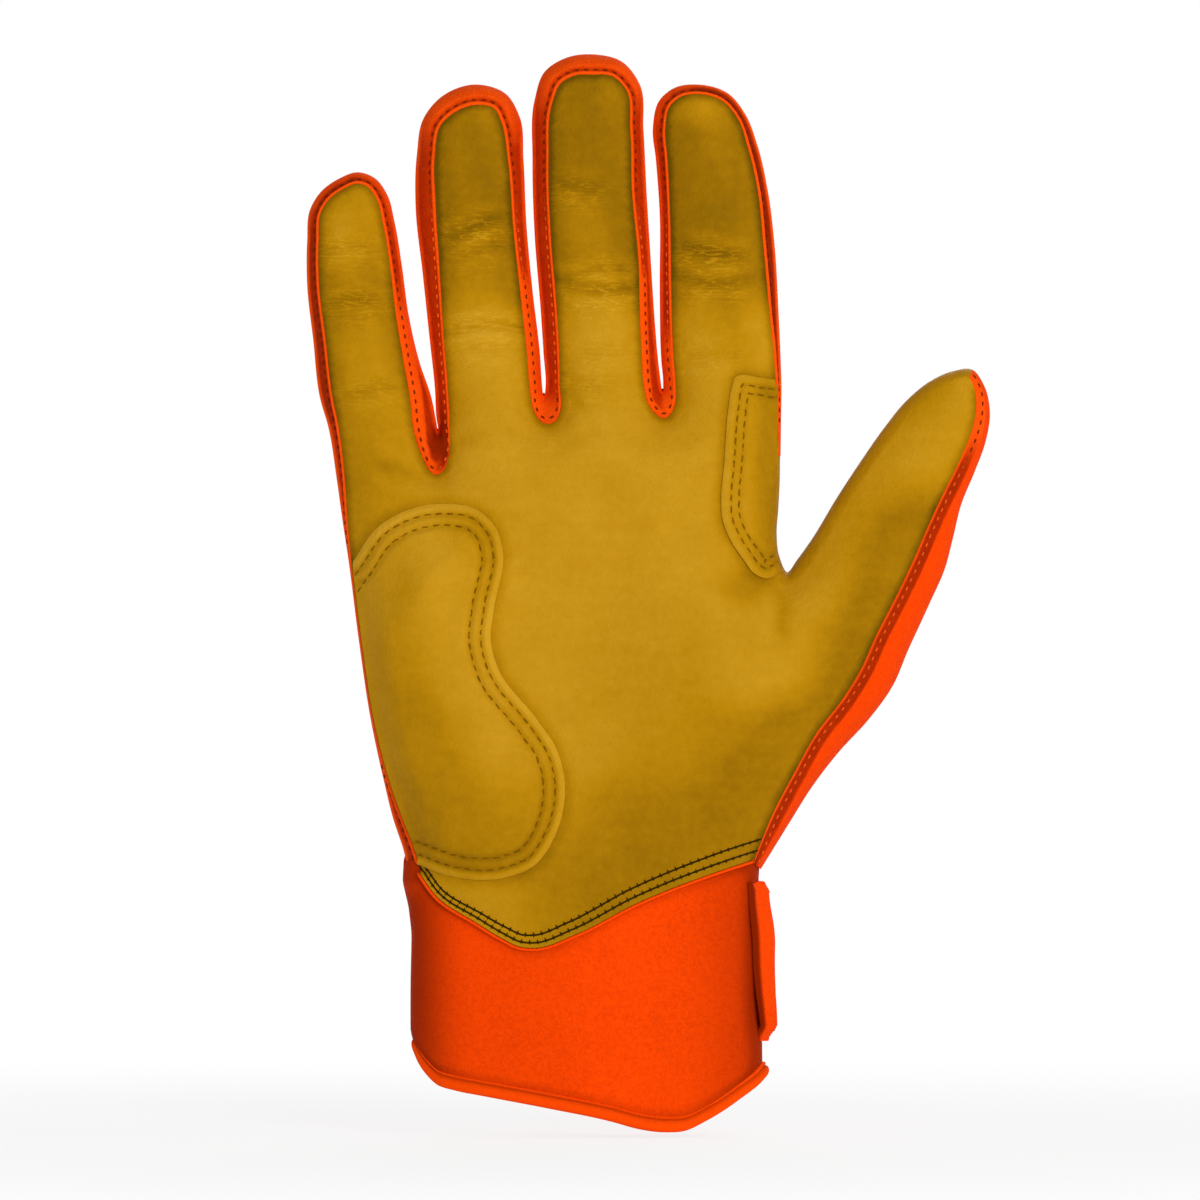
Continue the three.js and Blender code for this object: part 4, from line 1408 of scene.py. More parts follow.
        # Painted shade near the seams, the hem and the thumb panel's seam, and in the knuckle creases; it goes
        # out as the fold number.
        shade = self.back_shade.of(near)
        for crease in BACK_CREASES:
            fold, swell = crease.groove(flat)
            height += free * crease.depth * (0.5 * swell - fold)
            shade += 0.5 * crease.depth * fold
        depth, width = self.thumb_groove
        height -= depth * free * np.exp(-(distance_to(seam, flat) / width) ** 2)
        height += free * uneven(np.stack([x, height, z], 1), self.back_swells)
        points, faces = np.stack([x, height, z], 1), faces[:, ::-1]
        for span in outline.spans(EdgeKind.STRIP):
            start = self.strip_share(span)
            shares = [start * share for share in ROUND_SHARES]
            rows = np.concatenate([
                outline.across(span, shares, -1), outline.across(span, ROUND_SHARES[-2:0:-1], 1)])
            points, faces = join_rows(points, faces, rows, np.arange(span.start, span.stop), False)
        self.back = Skin(points, faces, {"fold": np.pad(shade, (0, len(points) - len(flat)))})

    def make(self) -> None:
        """Cuts both skins into pieces and dresses them."""
        self.build_front()
        self.build_back()
        bodies = body_at(self.front.centres())
        for body in ("hand", *STALLS):
            name = STALLS[body] + "_front" if body in STALLS else "palm_leather"
            piece = self.front.part(bodies == body).shell(name, LEATHER_WALL)
            dress(piece, self.finishes.leather, "leather", body, name)
        centres = self.back.centres()
        bodies = body_at(centres)
        seam = np.array(THUMB_SEAM)[::-1]
        beyond = centres[:, 0] > np.interp(centres[:, 2], seam[:, 1], seam[:, 0])
        beyond &= centres[:, 2] < self.thumb_panel_top
        hand = bodies == "hand"
        regions = {"back_panel": (hand & ~beyond, "hand"), "thumb_base_panel": (hand & beyond, "hand")}
        regions |= {stall + "_back": (bodies == body, body) for body, stall in STALLS.items()}
        for name, (chosen, body) in regions.items():
            piece = self.back.part(chosen).shell(name, CLOTH_WALL)
            dress(piece, self.finishes.stretch, "stretch_cloth", body, name)
        self.sew_back()

    def sew_back(self) -> None:
        """Sews rows of thread along the thumb panel's seam, the hem of the back and the finger bands."""
        tree = self.back.tree()
        seam = curve_through(THUMB_SEAM, 1.0)
        seam = seam[seam[:, 1] < self.seam_row_top]
        hem = curve_through([(x, BACK_HEM + self.seam_row) for x in self.hem_row_ends], 1.0)
        rows = {
            "thumb_panel_inner_row": (seam - (self.seam_row, 0), "hand"),
            "thumb_panel_outer_row": (seam + (self.seam_row, 0), "hand"),
            "back_hem_row": (hem, "hand"),
        }
        for stretch in EDGE:
            if stretch.kind is EdgeKind.BAND:
                span = self.outline.columns[stretch.name]
                back = self.outline.back[span]
                line = back + unit(back - self.outline.edge[span]) * self.back_row
                rows[stretch.name + "_back_row"] = (line, stretch.body)
        for name, (line, body) in rows.items():
            row = Stitches.facing(lay_on(line, tree, 1), 1, self.thread.pitch)
            dress(row.mesh(name, self.thread), self.finishes.red_thread, "stretch_cloth", body)


# Bands along the edge

@dataclass(frozen=True)
class BrightSide:
    """Bright cloth on one side of a band, in place of its painted shade: the height where it starts, where it is
    full, and its width.
    """

    start: float
    full: float
    width: float


# Painted light on band sides that face the thumb's side, as if lit from there.
PAINTED_LIGHT_RIGHT = {
    "little_side_band": BrightSide(200, 188, 3.2), "crotch_gusset_little_ring": BrightSide(200, 188, 3.2),
    "ring_side_band": BrightSide(203, 196, 9), "crotch_gusset_ring_middle": BrightSide(203, 196, 9),
    "middle_side_band": BrightSide(203, 197, 2.0), "crotch_gusset_middle_index": BrightSide(203, 197, 2.0),
}
# Bright cloth low on some left-hand sides, in place of the painted shade.
BRIGHT_LEFT = {
    "crotch_gusset_ring_middle": BrightSide(173, 170, 9), "index_side_band": BrightSide(190, 181, 9),
    "crotch_gusset_middle_index": BrightSide(190, 181, 9),
}

# Painted deep shade for each side of some bands: in the little and ring finger fork, on the thumb's strip and on
# the outer sides of the little and index fingers.
PAINTED_DEEP_SHADE = {
    "crotch_gusset_little_ring": (0.5, 0.5), "thumb_seam_strip": (0.25, 0.25),
    "thumb_side_band": (0.25, 0.25), "little_side_band": (0.3, 0.0), "index_side_band": (0.0, 0.5),
}
STRIP_SHARES = np.linspace(-0.06, 1.06, 8)
BAND_FRONT_SHARES = np.concatenate([[1.0], np.linspace(0.93, 0, 13) ** 1.7])
BAND_BACK_SHARES = np.linspace(0, 1, 9)[1:] ** 2


@dataclass
class Bands:
    """The side bands of the fingers, the fork gussets and the thumb's stitched strip."""

    outline: Outline
    panels: Panels
    finishes: Finishes
    thread: Thread = Thread(1.15, 0.24, 2.2)
    stitch_inset: float = 1.25
    strip_stitch_inset: float = 1.5
    least_width: float = 0.8
    tip_height: Fade = Fade(1, -17, -5)
    side: Fade = Fade(1, -0.2, 0.2)
    bright_border: Fade = Fade(1, 0.4, -0.4)
    inner_rim: Fade = Fade(1, 0.85, 0.55)
    outer_rim: Fade = Fade(1, -0.55, -0.25)
    tip_rim: Fade = Fade(0.75, 1.4, 2.2)
    strip_inner_rim: Fade = Fade(1, 0.55, 0.2)
    strip_outer_rim: Fade = Fade(0.8, -0.3, 0)
    strip_top_rim: Fade = Fade(0.9, 152, 163)
    tuck: float = 0.35
    fork_ends: Fade = Fade(1, 0.02, 0.3)
    pale_height: Fade = Fade(1, 222, 206)
    pale_sides: Pair = (-41, 20)
    strip_thread: Fade = Fade(1, 150, 160)

    def tip(self, flat: Array) -> Array:
        """Rises to 1 where a band passes over a fingertip.

        Args:
            flat: Flat places.

        Returns:
            One share for each place.
        """
        share = np.zeros(len(flat))
        for number, top in enumerate(FINGER_TOPS):
            mine = between_gaps(flat, number)
            share[mine] = self.tip_height.of(flat[mine, 1] - top)
        return share

    def right(self, span: slice) -> Array:
        """1 where a band faces the thumb's side and 0 where it faces the little finger's side."""
        return self.side.of(unit(self.outline.edge[span] - self.outline.seam[span])[:, 0])

    def bright(self, name: str, height: Array, right: Array, plan: Array) -> Array:
        """Share of bright cloth on a band, in place of its painted shade; on sides that face the thumb's side it
        is painted light.

        Args:
            name: Name of the stretch.
            height: Height of each column.
            right: Side of each column.
            plan: Distance from the leather.

        Returns:
            Shares from 0 to 1.
        """
        share = 0 * plan
        for table, side in ((PAINTED_LIGHT_RIGHT, right), (BRIGHT_LEFT, 1 - right)):
            if name in table:
                spot = table[name]
                across = self.bright_border.of(plan - spot.width)
                share = share + side * smoothstep(spot.start, spot.full, height) * across
        return share

    def strip_rows(self, span: slice) -> tuple[Array, Array]:
        """Shapes a strip beside the leather.

        Args:
            span: Columns of the strip.

        Returns:
            Places and rim shares, as rows by columns.
        """
        inset = self.outline.inset[span]
        end = self.panels.strip_share(span)
        shares = [1 - (1 - end) * share for share in STRIP_SHARES]
        plan = np.array([(1 - share) * inset for share in shares])
        outer = self.strip_outer_rim.of(plan - (1 - end) * inset)
        top = self.strip_top_rim.at(self.outline.edge[span])
        rim = np.maximum(np.maximum(self.strip_inner_rim.of(plan), outer), top)
        return self.outline.across(span, shares, -1), rim

    def band_rows(self, name: str, span: slice) -> tuple[Array, Array]:
        """Shapes a band from the leather round to the back.

        Args:
            name: Name of the stretch.
            span: Columns of the band.

        Returns:
            Places and rim shares, as rows by columns.
        """
        edge, inset = self.outline.edge[span], self.outline.inset[span]
        front, back = BAND_FRONT_SHARES, BAND_BACK_SHARES
        rows = np.concatenate([self.outline.across(span, front, -1), self.outline.across(span, back, 1)])
        plan = np.concatenate([(1 - front[:, None]) * inset, inset + back[:, None] * BACK_INSET])
        # Rims and bright sides keep the orange; elsewhere the band takes painted shade.
        rim = np.maximum.reduce([
            self.outer_rim.of(plan - inset), self.inner_rim.of(plan), self.tip(edge) * self.tip_rim.of(plan),
            0.85 * self.bright(name, edge[:, 1], self.right(span), plan)])
        return rows, rim

    def skin(self, stretch: Stretch) -> Skin:
        """Surface of one band or strip.

        Args:
            stretch: The stretch of edge that it covers.

        Returns:
            Its skin.
        """
        span = self.outline.columns[stretch.name]
        strip = stretch.kind is EdgeKind.STRIP
        rows, rim = self.strip_rows(span) if strip else self.band_rows(stretch.name, span)
        count, columns = rows.shape[:2]
        faces = grid_faces(count, columns)
        points = rows.reshape(-1, 3)
        lift = 0.45 * (rim - 0.75).ravel()
        lift[:columns] = -self.tuck
        points = points + vertex_normals(points, faces) * lift[:, None]
        # Painted deep shade, faded out towards the ends of a fork.
        left, right = PAINTED_DEEP_SHADE.get(stretch.name, (0, 0))
        deep = left + (right - left) * self.right(span)
        if stretch.name.startswith("crotch"):
            ends = np.minimum(np.arange(columns), np.arange(columns)[::-1]) / columns
            deep = deep * self.fork_ends.of(ends)
        rim = rim - deep * (1 - rim)
        return Skin(points, faces, {"rim": rim.ravel()})

    def stitches(self, stretch: Stretch, skin: Skin) -> Stitches:
        """Stitch row of one band, next to the leather.

        Args:
            stretch: The stretch of edge.
            skin: The band's surface.

        Returns:
            The stitches.
        """
        span = self.outline.columns[stretch.name]
        inset = self.outline.inset[span]
        strip = stretch.kind is EdgeKind.STRIP
        wanted = self.strip_stitch_inset if strip else self.stitch_inset
        share = 1 - np.minimum(wanted / inset, 0.5)
        line, inner = self.outline.across(span, [share, np.minimum(share + 0.15, 1)], -1)
        normals = unit(np.cross(np.gradient(line, axis=0), line - inner))
        tree = skin.tree()
        sunk = np.array([tree.find_nearest(Vector(place))[0] for place in line])
        row = Stitches.on_line(sunk + normals * 0.05, normals, self.thread.pitch)
        nearest = np.array([np.argmin(np.linalg.norm(line - centre, axis=1)) for centre in row.centres])
        wide = inset[nearest] > self.least_width
        row, nearest = row.chosen(wide), nearest[wide]
        x, z = row.centres[:, 0], row.centres[:, 2]
        bright = self.bright(stretch.name, z, self.right(span)[nearest], np.full(len(z), self.stitch_inset))
        left, right = self.pale_sides
        pale = (1 - bright) * self.pale_height.of(z) * (x > left) * (x < right)
        row.shade = self.strip_thread.of(z) if strip else 1 - pale
        return row

    def make(self) -> None:
        """Builds and dresses every band and its stitches."""
        nodes = set(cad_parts)
        for stretch in EDGE:
            if stretch.kind is EdgeKind.LEATHER:
                continue
            skin = self.skin(stretch)
            piece = skin.shell(stretch.name, CLOTH_WALL)
            stands_for = (stretch.name,) if stretch.name in nodes else ()
            dress(piece, self.finishes.band, "band_cloth", stretch.body, *stands_for)
            row = self.stitches(stretch, skin).mesh(stretch.name + "_stitches", self.thread)
            dress(row, self.finishes.orange_thread, "band_cloth", stretch.body)


# Leather overlays

# A lane of painted highlight that runs up the heel pad.
LANE_TOP = (-33.0, 125.0)
LANE_SLOPE = 0.375
LANE_WIDTH = 13.0
LANE_HEIGHT = Fade(1, 68, 92)


@dataclass(frozen=True)
class OverlayTone:
    """Tone of an overlay: overall, a painted highlight along its lip, a change across it and a painted highlight
    on a lane that runs up it.
    """

    overall: float
    lip: Fade
    across: Fade
    lane: float = 0.0

    def at(self, flat: Array, away: Array) -> Array:
        """Tone at flat places.

        Args:
            flat: Flat places.
            away: Their distance to the free border.

        Returns:
            One tone for each place.
        """
        aside = flat[:, 0] - LANE_TOP[0] - LANE_SLOPE * (LANE_TOP[1] - flat[:, 1])
        lane = self.lane * np.exp(-(aside / LANE_WIDTH) ** 2) * LANE_HEIGHT.at(flat)
        return self.overall + lane + self.across.at(flat) + self.lip.of(away)


HEEL_TONE = OverlayTone(0.5, Fade(0.28, 2.0, 0.8), Fade(0.16, -40, -50, across=True), 0.3)
WEB_TONE = OverlayTone(0.72, Fade(0.1, 2.0, 0.8), Fade(-0.2, 36, 41, across=True))


@dataclass
class Overlay:
    """A leather patch that lies on the palm with a rolled lip and stitch rows along its free border."""

    name: str
    loop: Array
    border: Array
    front: Skin
    finishes: Finishes
    tone: OverlayTone
    lip: float
    rows: Numbers
    crown: float
    crown_reach: float
    thread: Thread = Thread(1.75, 0.21, 2.6)
    thread_lift: float = 0.02
    spacing: float = 0.85
    border_height: float = 0.5
    lip_width: float = 1.3
    channel: Pair = (0.55, 0.55)
    channel_shade: Pair = (0.16, 0.6)
    sewn_share: float = 0.45
    sewn_reach: float = 7.0
    mottle: tuple[Triple, ...] = ((0.05, 9, 4.2),)
    wall: float = 1.0

    def height(self, flat: Array) -> Array:
        """Height above the palm at flat places.

        Args:
            flat: Flat places.

        Returns:
            One height for each place.
        """
        away = distance_to(self.border, flat)
        rolled = np.sqrt(1 - (1 - np.minimum(away / self.lip_width, 1)) ** 2)
        rise = self.border_height + (self.lip - self.border_height) * rolled
        depth, width = self.channel
        for row in self.rows:
            rise -= depth * self.lip * np.exp(-((away - row) / width) ** 2)
        if not self.crown:
            return rise
        rise += self.crown * smoothstep(self.rows[-1] + 0.5, self.crown_reach, away)
        sewn = distance_to(closed(self.loop), flat)
        inner = np.minimum(away, sewn + FAR_OFF * (np.abs(away - sewn) < 0.02))
        return rise * (self.sewn_share + (1 - self.sewn_share) * smoothstep(0, self.sewn_reach, inner))

    def skin(self) -> Skin:
        """Lays the overlay on the palm.

        Returns:
            Its outer skin.
        """
        flat, faces = triangulate(self.loop, self.spacing)
        points = lay_on(flat, self.front.tree())
        rise = self.height(flat)
        points[:, 1] -= rise
        away = distance_to(self.border, flat)
        tone = self.tone.at(flat, away) + uneven(points, self.mottle)
        # Painted shade along the stitch channels.
        change, width = self.channel_shade
        for row in self.rows:
            tone -= change * np.exp(-((away - row) / width) ** 2)
        return Skin(points, faces, {"tone": tone, "edge": np.zeros(len(flat)), "rise": rise})

    def inset_line(self, distance: float) -> Array:
        """Moves the free border inwards and runs it on to the sewn side at both ends.

        Args:
            distance: How far inwards.

        Returns:
            Flat places.
        """
        line = run_on(self.border, 10)
        shift = beside(line) * distance
        moved = line + shift
        middle = len(moved) // 2
        if not inside(self.loop, moved[middle:middle + 1])[0]:
            moved = line - shift
        clear = distance_to(self.border, moved) > 0.93 * distance
        return moved[clear & inside(self.loop, moved)]

    def make(self) -> Skin:
        """Builds and dresses the overlay and its stitch rows.

        Returns:
            The overlay's skin.
        """
        skin = self.skin()
        wall = np.minimum(self.wall, skin.attributes["rise"] - 0.05)
        piece = dress(skin.shell(self.name, wall), self.finishes.leather, "leather", "hand", self.name)
        lines = [lay_on(self.inset_line(distance), skin.tree()) for distance in self.rows]
        rows = [Stitches.facing(line - (0, self.thread_lift, 0), -1, self.thread.pitch) for line in lines]
        thread = Stitches.join(rows).mesh(self.name + "_stitches", self.thread)
        dress(thread, self.finishes.brown_thread, "leather", "hand")
        return skin


@dataclass
class Overlays:
    """The padded heel overlay with its foam, the web patch and the double stitch row along the palm's hem."""

    outline: Outline
    panels: Panels
    finishes: Finishes
    border_step: float = 1.0
    heel_side: Pair = (63, 131.5)
    web_side: Pair = (132.4, 173.2)
    foam_start: float = 6.5
    foam_inset: float = 4.0
    hem_run: int = 8
    hem_marks: Numbers = (-38.0, -12.0, 36.0)
    hem_rows: tuple[Numbers, ...] = ((0.9, 1.2, 1.8), (1.9, 3.0, 4.1))
    hem_thread: Thread = Thread(2.7, 0.26, 1.9)
    tick_thread: Thread = Thread(1.3, 0.18, 1.9)
    piping: Thread = Thread(2.6, 0.4, 1.0)

    def heel(self) -> Overlay:
        """Plans the heel pad, whose outer side follows the leather's seam.

        Returns:
            The pad.
        """
        border = curve_through(HEEL_PAD, self.border_step)
        seam = self.outline.seam[self.outline.columns["ulnar_edge"]]
        low, high = self.heel_side
        side = seam[(seam[:, 1] > low) & (seam[:, 1] < high)] + (0.15, 0)
        return Overlay("heel_pad", np.concatenate([border, side]), border, self.panels.front,
                       self.finishes, HEEL_TONE, lip=2.1, rows=(2.3, 5.0), crown=2.6, crown_reach=20)

    def web(self) -> Overlay:
        """Plans the patch between index finger and thumb, up to the edge of the web.

        Returns:
            The patch.
        """
        border = curve_through(WEB_PATCH, self.border_step)
        start, end = (self.outline.columns[name] for name in ("index_root_band", "web_edge"))
        edge = self.outline.edge[start.start:end.stop]
        edge = edge[:np.argmin(edge[:, 1])]
        low, high = self.web_side
        side = edge[(edge[:, 1] > low) & (edge[:, 1] < high)][::-1] - (0.8, 0)
        return Overlay("web_patch", np.concatenate([border, side]), border, self.panels.front,
                       self.finishes, WEB_TONE, lip=1.15, rows=(2.3, 4.1), crown=0, crown_reach=0)

    def foam(self, pad: Skin, overlay: Overlay) -> None:
        """Fills the heel pad.

        Args:
            pad: The pad's skin.
            overlay: The pad.
        """
        corners = pad.points[pad.faces][:, :, [0, 2]].reshape(-1, 2)
        deep = distance_to(overlay.border, corners) > self.foam_start
        deep &= distance_to(closed(overlay.loop), corners) > self.foam_inset
        deep = deep.reshape(-1, 3).all(axis=1)
        rise = pad.attributes["rise"]
        inner = Skin(pad.moved(-1.15), pad.faces, {"rise": rise}, pad.normals).part(deep)
        thickness = np.maximum(inner.attributes["rise"] - 1.3, 0.25)
        piece = dress(inner.shell("heel_foam", thickness), self.finishes.foam, "foam", "hand", "heel_foam")

    def hem(self) -> None:
        """Sews the palm's hem with two dark rows and short ticks, and pipes its border."""
        line = curve_through(PALM_HEM, 0.8)
        leather = np.concatenate([self.outline.seam, line])
        line = run_on(line, self.hem_run)
        inward = beside(line)
        tree = self.panels.front.tree()
        rows = []
        for distances in self.hem_rows:
            flat = line + inward * np.interp(line[:, 0], self.hem_marks, distances)[:, None]
            solid = lay_on(flat[inside(leather, flat)], tree)
            rows.append(Stitches.facing(solid, -1, self.hem_thread.pitch))
        threads, ticks = Stitches.join(rows), Stitches.join([row.across(0.1) for row in rows])
        line, inward = line[self.hem_run:-self.hem_run], inward[self.hem_run:-self.hem_run]
        rim = lay_on(line + inward * 0.3, tree) + (0, 0.55, 0)
        rim -= np.insert(inward * 0.75, 1, 0, axis=1)
        piping = Stitches.facing(rim, -1, self.piping.pitch)
        dress(piping.mesh("palm_hem_piping", self.piping), self.finishes.binding, "binding", "hand")
        dress(threads.mesh("palm_hem_thread", self.hem_thread), self.finishes.black_thread, "leather", "hand")
        dress(ticks.mesh("palm_hem_ticks", self.tick_thread), self.finishes.black_thread, "leather", "hand")

    def make(self) -> None:
        """Builds and dresses the overlays and the hem's stitches."""
        heel = self.heel()
        pad = heel.make()
        self.foam(pad, heel)
        self.web().make()
        self.hem()


# Cuff and strap

CUFF_EDGE = (
    (-43, 22.5), (-41.2, 18), (-40, 15.2), (-38.4, 13), (-36.2, 11), (-31.9, 9.7), (-25.9, 8.6),
    (-10, 5.7), (5.2, 2.6), (11.2, 1), (17.3, 0.2), (22.2, 0.5), (26.4, 2.4), (32.5, 6),
    (38.6, 11), (41, 14), (42.5, 18),
)
CUFF_SIDES = (
    (0, -40.6, 39.8), (16, -41.3, 40.1), (20.5, -41.5, 39.9), (25, -41.5, 39.2),
    (32, -41.6, 38.7), (46, -41.7, 38.7), (52, -42.4, 38.8), (58, -43.6, 39.1),
    (63, -43.3, 39.3), (72, -41.5, 39.8),
)
CUFF_HALF_DEPTH = 15.0
CUFF_POWER = 2.3
CUFF_SAMPLES = 4000
PATH_LEVEL = 40.0
HEM_LEVEL = 20.0
HEM_COLUMNS = 260
HEM_SIDES = 28
VENT_MIDDLE = -6.0


@dataclass(frozen=True)
class Pad:
    """A flat piece on the cuff's back: its sides, lower and upper border, distance out, wall and grid."""

    sides: Pair
    levels: Pair
    out: float
    wall: float
    columns: int
    rows: int


VENT_GUSSET = Pad((VENT_MIDDLE + 7.5, VENT_MIDDLE - 7.5), (22.0, 62.0), -2.9, 0.7, 20, 36)
LOOP_PAD = Pad((-11.0, -33.0), (25.0, 54.0), 1.45, 1.25, 26, 20)
HOOK_PAD = Pad((-11.5, -32.0), (26.0, 53.0), 2.4, 0.9, 26, 20)


@dataclass(frozen=True)
class CuffShade:
    """Shares of painted shade on the cuff's wall."""

    little_side: Fade = Fade(1, -25, -41)
    thumb_side: Fade = Fade(0.4, 18, 39)
    thumb_edge: Fade = Fade(0.4, 5.5, 0.5)
    middle: float = 5.0
    off_middle: Fade = Fade(0.08, 3, 14)
    front: Fade = Fade(1, 7, -5)
    lighter_top: Fade = Fade(0.6, 52, 62)
    lighter_side: Fade = Fade(1, -37, -42)
    under_seam: Fade = Fade(0.35, 3.5, 0.5)
    above_hem: Fade = Fade(0.3, 6.2, 4.0)


@dataclass
class Cuff:
    """The open cuff: front, two back halves with a vent slit, hem binding, elastic and loop pad."""

    finishes: Finishes
    wall: float = 2.3
    tuck: float = 7.0
    taper: Fade = Fade(2.2, 0.5, tuck)
    hem_dip: Fade = Fade(0.9, 5, 0)
    dent_scale: Pair = (2.1, 17)
    shade: CuffShade = CuffShade()
    hem_height: float = 3.8
    hem_powers: Pair = (0.6, 0.7)
    hem_flush: tuple[Fade, Fade] = (Fade(0.6, -33, -39), Fade(-0.9, 34, 39))
    groove: Pair = (0.45, 0.2)
    hem_gap: float = 0.01
    vent_half: float = 1.6
    elastic_turn: Pair = (1.08 * math.pi, 1.92 * math.pi)
    elastic_levels: Pair = (24.0, 36.0)

    def sides(self, z: Array) -> tuple[Array, Array]:
        """Measures the cuff across.

        Args:
            z: Heights.

        Returns:
            The middle and the half width at each height.
        """
        table = np.array(CUFF_SIDES)
        left, right = np.interp(z, table[:, 0], table[:, 1]), np.interp(z, table[:, 0], table[:, 2])
        return (left + right) / 2, (right - left) / 2

    def depth(self, flat: Array) -> Array:
        """Measures how deep the cuff's outer face lies.

        Args:
            flat: Flat places.

        Returns:
            One depth for each place.
        """
        middle, half = self.sides(flat[:, 1])
        share = np.clip(np.abs((flat[:, 0] - middle) / half), 0, 0.995)
        return CUFF_HALF_DEPTH * (1 - share ** CUFF_POWER) ** (1 / CUFF_POWER)

    def ring(self, angles: Array, z: Array | float, grow: Array | float) -> Array:
        """Places round the cuff.

        Args:
            angles: Angles round the cuff; 0 is the thumb's side and a quarter turn the back.
            z: Heights.
            grow: Distance outside the cuff's outer face.

        Returns:
            Places.
        """
        middle, half = self.sides(z)
        cos, sin = np.cos(angles), np.sin(angles)
        x = middle + (half + grow) * np.sign(cos) * np.abs(cos) ** (2 / CUFF_POWER)
        y = (CUFF_HALF_DEPTH + grow) * np.sign(sin) * np.abs(sin) ** (2 / CUFF_POWER)
        return np.stack([x, y, z + 0 * x], -1)

    def path(self, start: float, end: float, count: int) -> Array:
        """Steps evenly round the cuff.

        Args:
            start: First angle.
            end: Last angle.
            count: Number of angles.

        Returns:
            The angles.
        """
        angles = np.linspace(start, end, CUFF_SAMPLES // 2)
        gone = travel(self.ring(angles, PATH_LEVEL, 0))
        return np.interp(np.linspace(0, gone[-1], count), gone, angles)

    def angle_at(self, x: float) -> float:
        """Angle where the cuff's back passes a place across."""
        angles = np.linspace(0, math.pi, CUFF_SAMPLES)
        return float(angles[np.argmin(np.abs(self.ring(angles, PATH_LEVEL, 0)[:, 0] - x))])

    def edge(self, x: Array) -> Array:
        """Height of the cuff's lower edge across the cuff."""
        line = curve_through(CUFF_EDGE, 1.0)
        return np.interp(x, line[:, 0], line[:, 1])

    def sheet(self, angles: Array, low: Array | float, high: Array | float,
              grow: Callable[[Array, Array], Array | float], rows: int) -> Skin:
        """A skin round part of the cuff.

        Args:
            angles: Angles of its columns, or a table of them with a line for each row.
            low: Lower height, or one for each column.
            high: Upper height, or one for each column.
            grow: Distance outside the cuff from the column's angle and the height.
            rows: Number of rows.

        Returns:
            The skin, facing out.
        """
        columns = np.shape(angles)[-1]
        table = np.broadcast_to(angles, (rows, columns))
        grid = []
        for turn, share in zip(table, np.linspace(0, 1, rows)):
            z = low + (high - low) * share
            grid.append(self.ring(turn, z, grow(turn, z)))
        return Skin(np.concatenate(grid), grid_faces(rows, columns))

    def pad(self, name: str, pad: Pad) -> bpy.types.Object:
        """Makes a flat piece on the cuff's back."""
        angles = self.path(*(self.angle_at(x) for x in pad.sides), pad.columns)
        return self.sheet(angles, *pad.levels, lambda turn, z: pad.out, pad.rows).shell(name, pad.wall)

    def wall_piece(self, name: str, start: float, end: float, count: int,
                   top: Callable[[Array], Array]) -> bpy.types.Object:
        """One part of the cuff's padded wall.

        Args:
            name: Name of the piece.
            start: First angle.
            end: Last angle.
            count: Columns.
            top: Height of the seam that it tucks under, across the cuff.

        Returns:
            The piece.
        """
        angles = self.path(start, end, count)
        across = self.ring(angles, PATH_LEVEL, 0)[:, 0]
        seam, edge = top(across), self.edge(across)
        turn_scale, height_scale = self.dent_scale

        def swell(turn: Array, z: Array) -> Array:
            """Adds soft unevenness, and a taper where the wall tucks under the seam.

            Args:
                turn: Angles.
                z: Heights.

            Returns:
                Distance outside the cuff's outer face.
            """
            places = zip(turn * turn_scale, z / height_scale)
            dent = np.array([noise.noise(Vector((*place, 2.0))) for place in places])
            return 0.45 * dent - self.taper.of(z - seam) - self.hem_dip.of(z - edge)

        skin = self.sheet(angles, edge + 1.2, seam + self.tuck, swell, 44)
        # The fold number carries the painted shade.
        skin.attributes["fold"] = self.shading(skin.points, top)
        return skin.shell(name, self.wall)

    def shading(self, points: Array, top: Callable[[Array], Array]) -> Array:
        """Painted shade: darker cloth where the wall turns away, under the seam above and along the hem.

        Args:
            points: Places on the wall.
            top: Height of the seam above, across the cuff.

        Returns:
            Share of the painted shade for each place.
        """
        x, y, z = points.T
        shade = self.shade
        middle, half = self.sides(z)
        fold = 0.68 * shade.little_side.of(x) ** 1.5 + shade.thumb_side.of(x)
        fold += shade.off_middle.of(np.abs(x - shade.middle)) + shade.thumb_edge.of(middle + half - x)
        fold *= shade.front.of(y) * (1 - shade.lighter_top.of(z) * shade.lighter_side.of(x))
        fold += shade.under_seam.of(top(x) - z) + shade.above_hem.of(z - self.edge(x))
        return np.minimum(fold, 0.8)

    def hem(self, start: float, end: float) -> bpy.types.Object:
        """The binding round the lower edge, from one side of the vent to the other.

        Args:
            start: First angle.
            end: Last angle.

        Returns:
            The piece.
        """
        angles = self.path(start, end, HEM_COLUMNS)
        across = self.ring(angles, HEM_LEVEL, 0)[:, 0]
        level = self.edge(across) + self.hem_height / 2
        flush = sum(fade.of(across) for fade in self.hem_flush)
        out_power, up_power = self.hem_powers
        place, width = self.groove
        rows, shade = [], []
        for turn in np.arange(HEM_SIDES) * 2 * math.pi / HEM_SIDES:
            out, up = math.cos(turn), math.sin(turn)
            groove = math.exp(-((up - place) / width) ** 2) * (out > 0)
            reach = (self.wall / 2 + 0.9) * math.copysign(abs(out) ** out_power, out)
            reach -= 0.8 * groove + self.wall / 2 + 0.2
            rise = self.hem_height / 2 * math.copysign(abs(up) ** up_power, up)
            rows.append(self.ring(angles, level + rise, reach - flush * max(out, 0)))
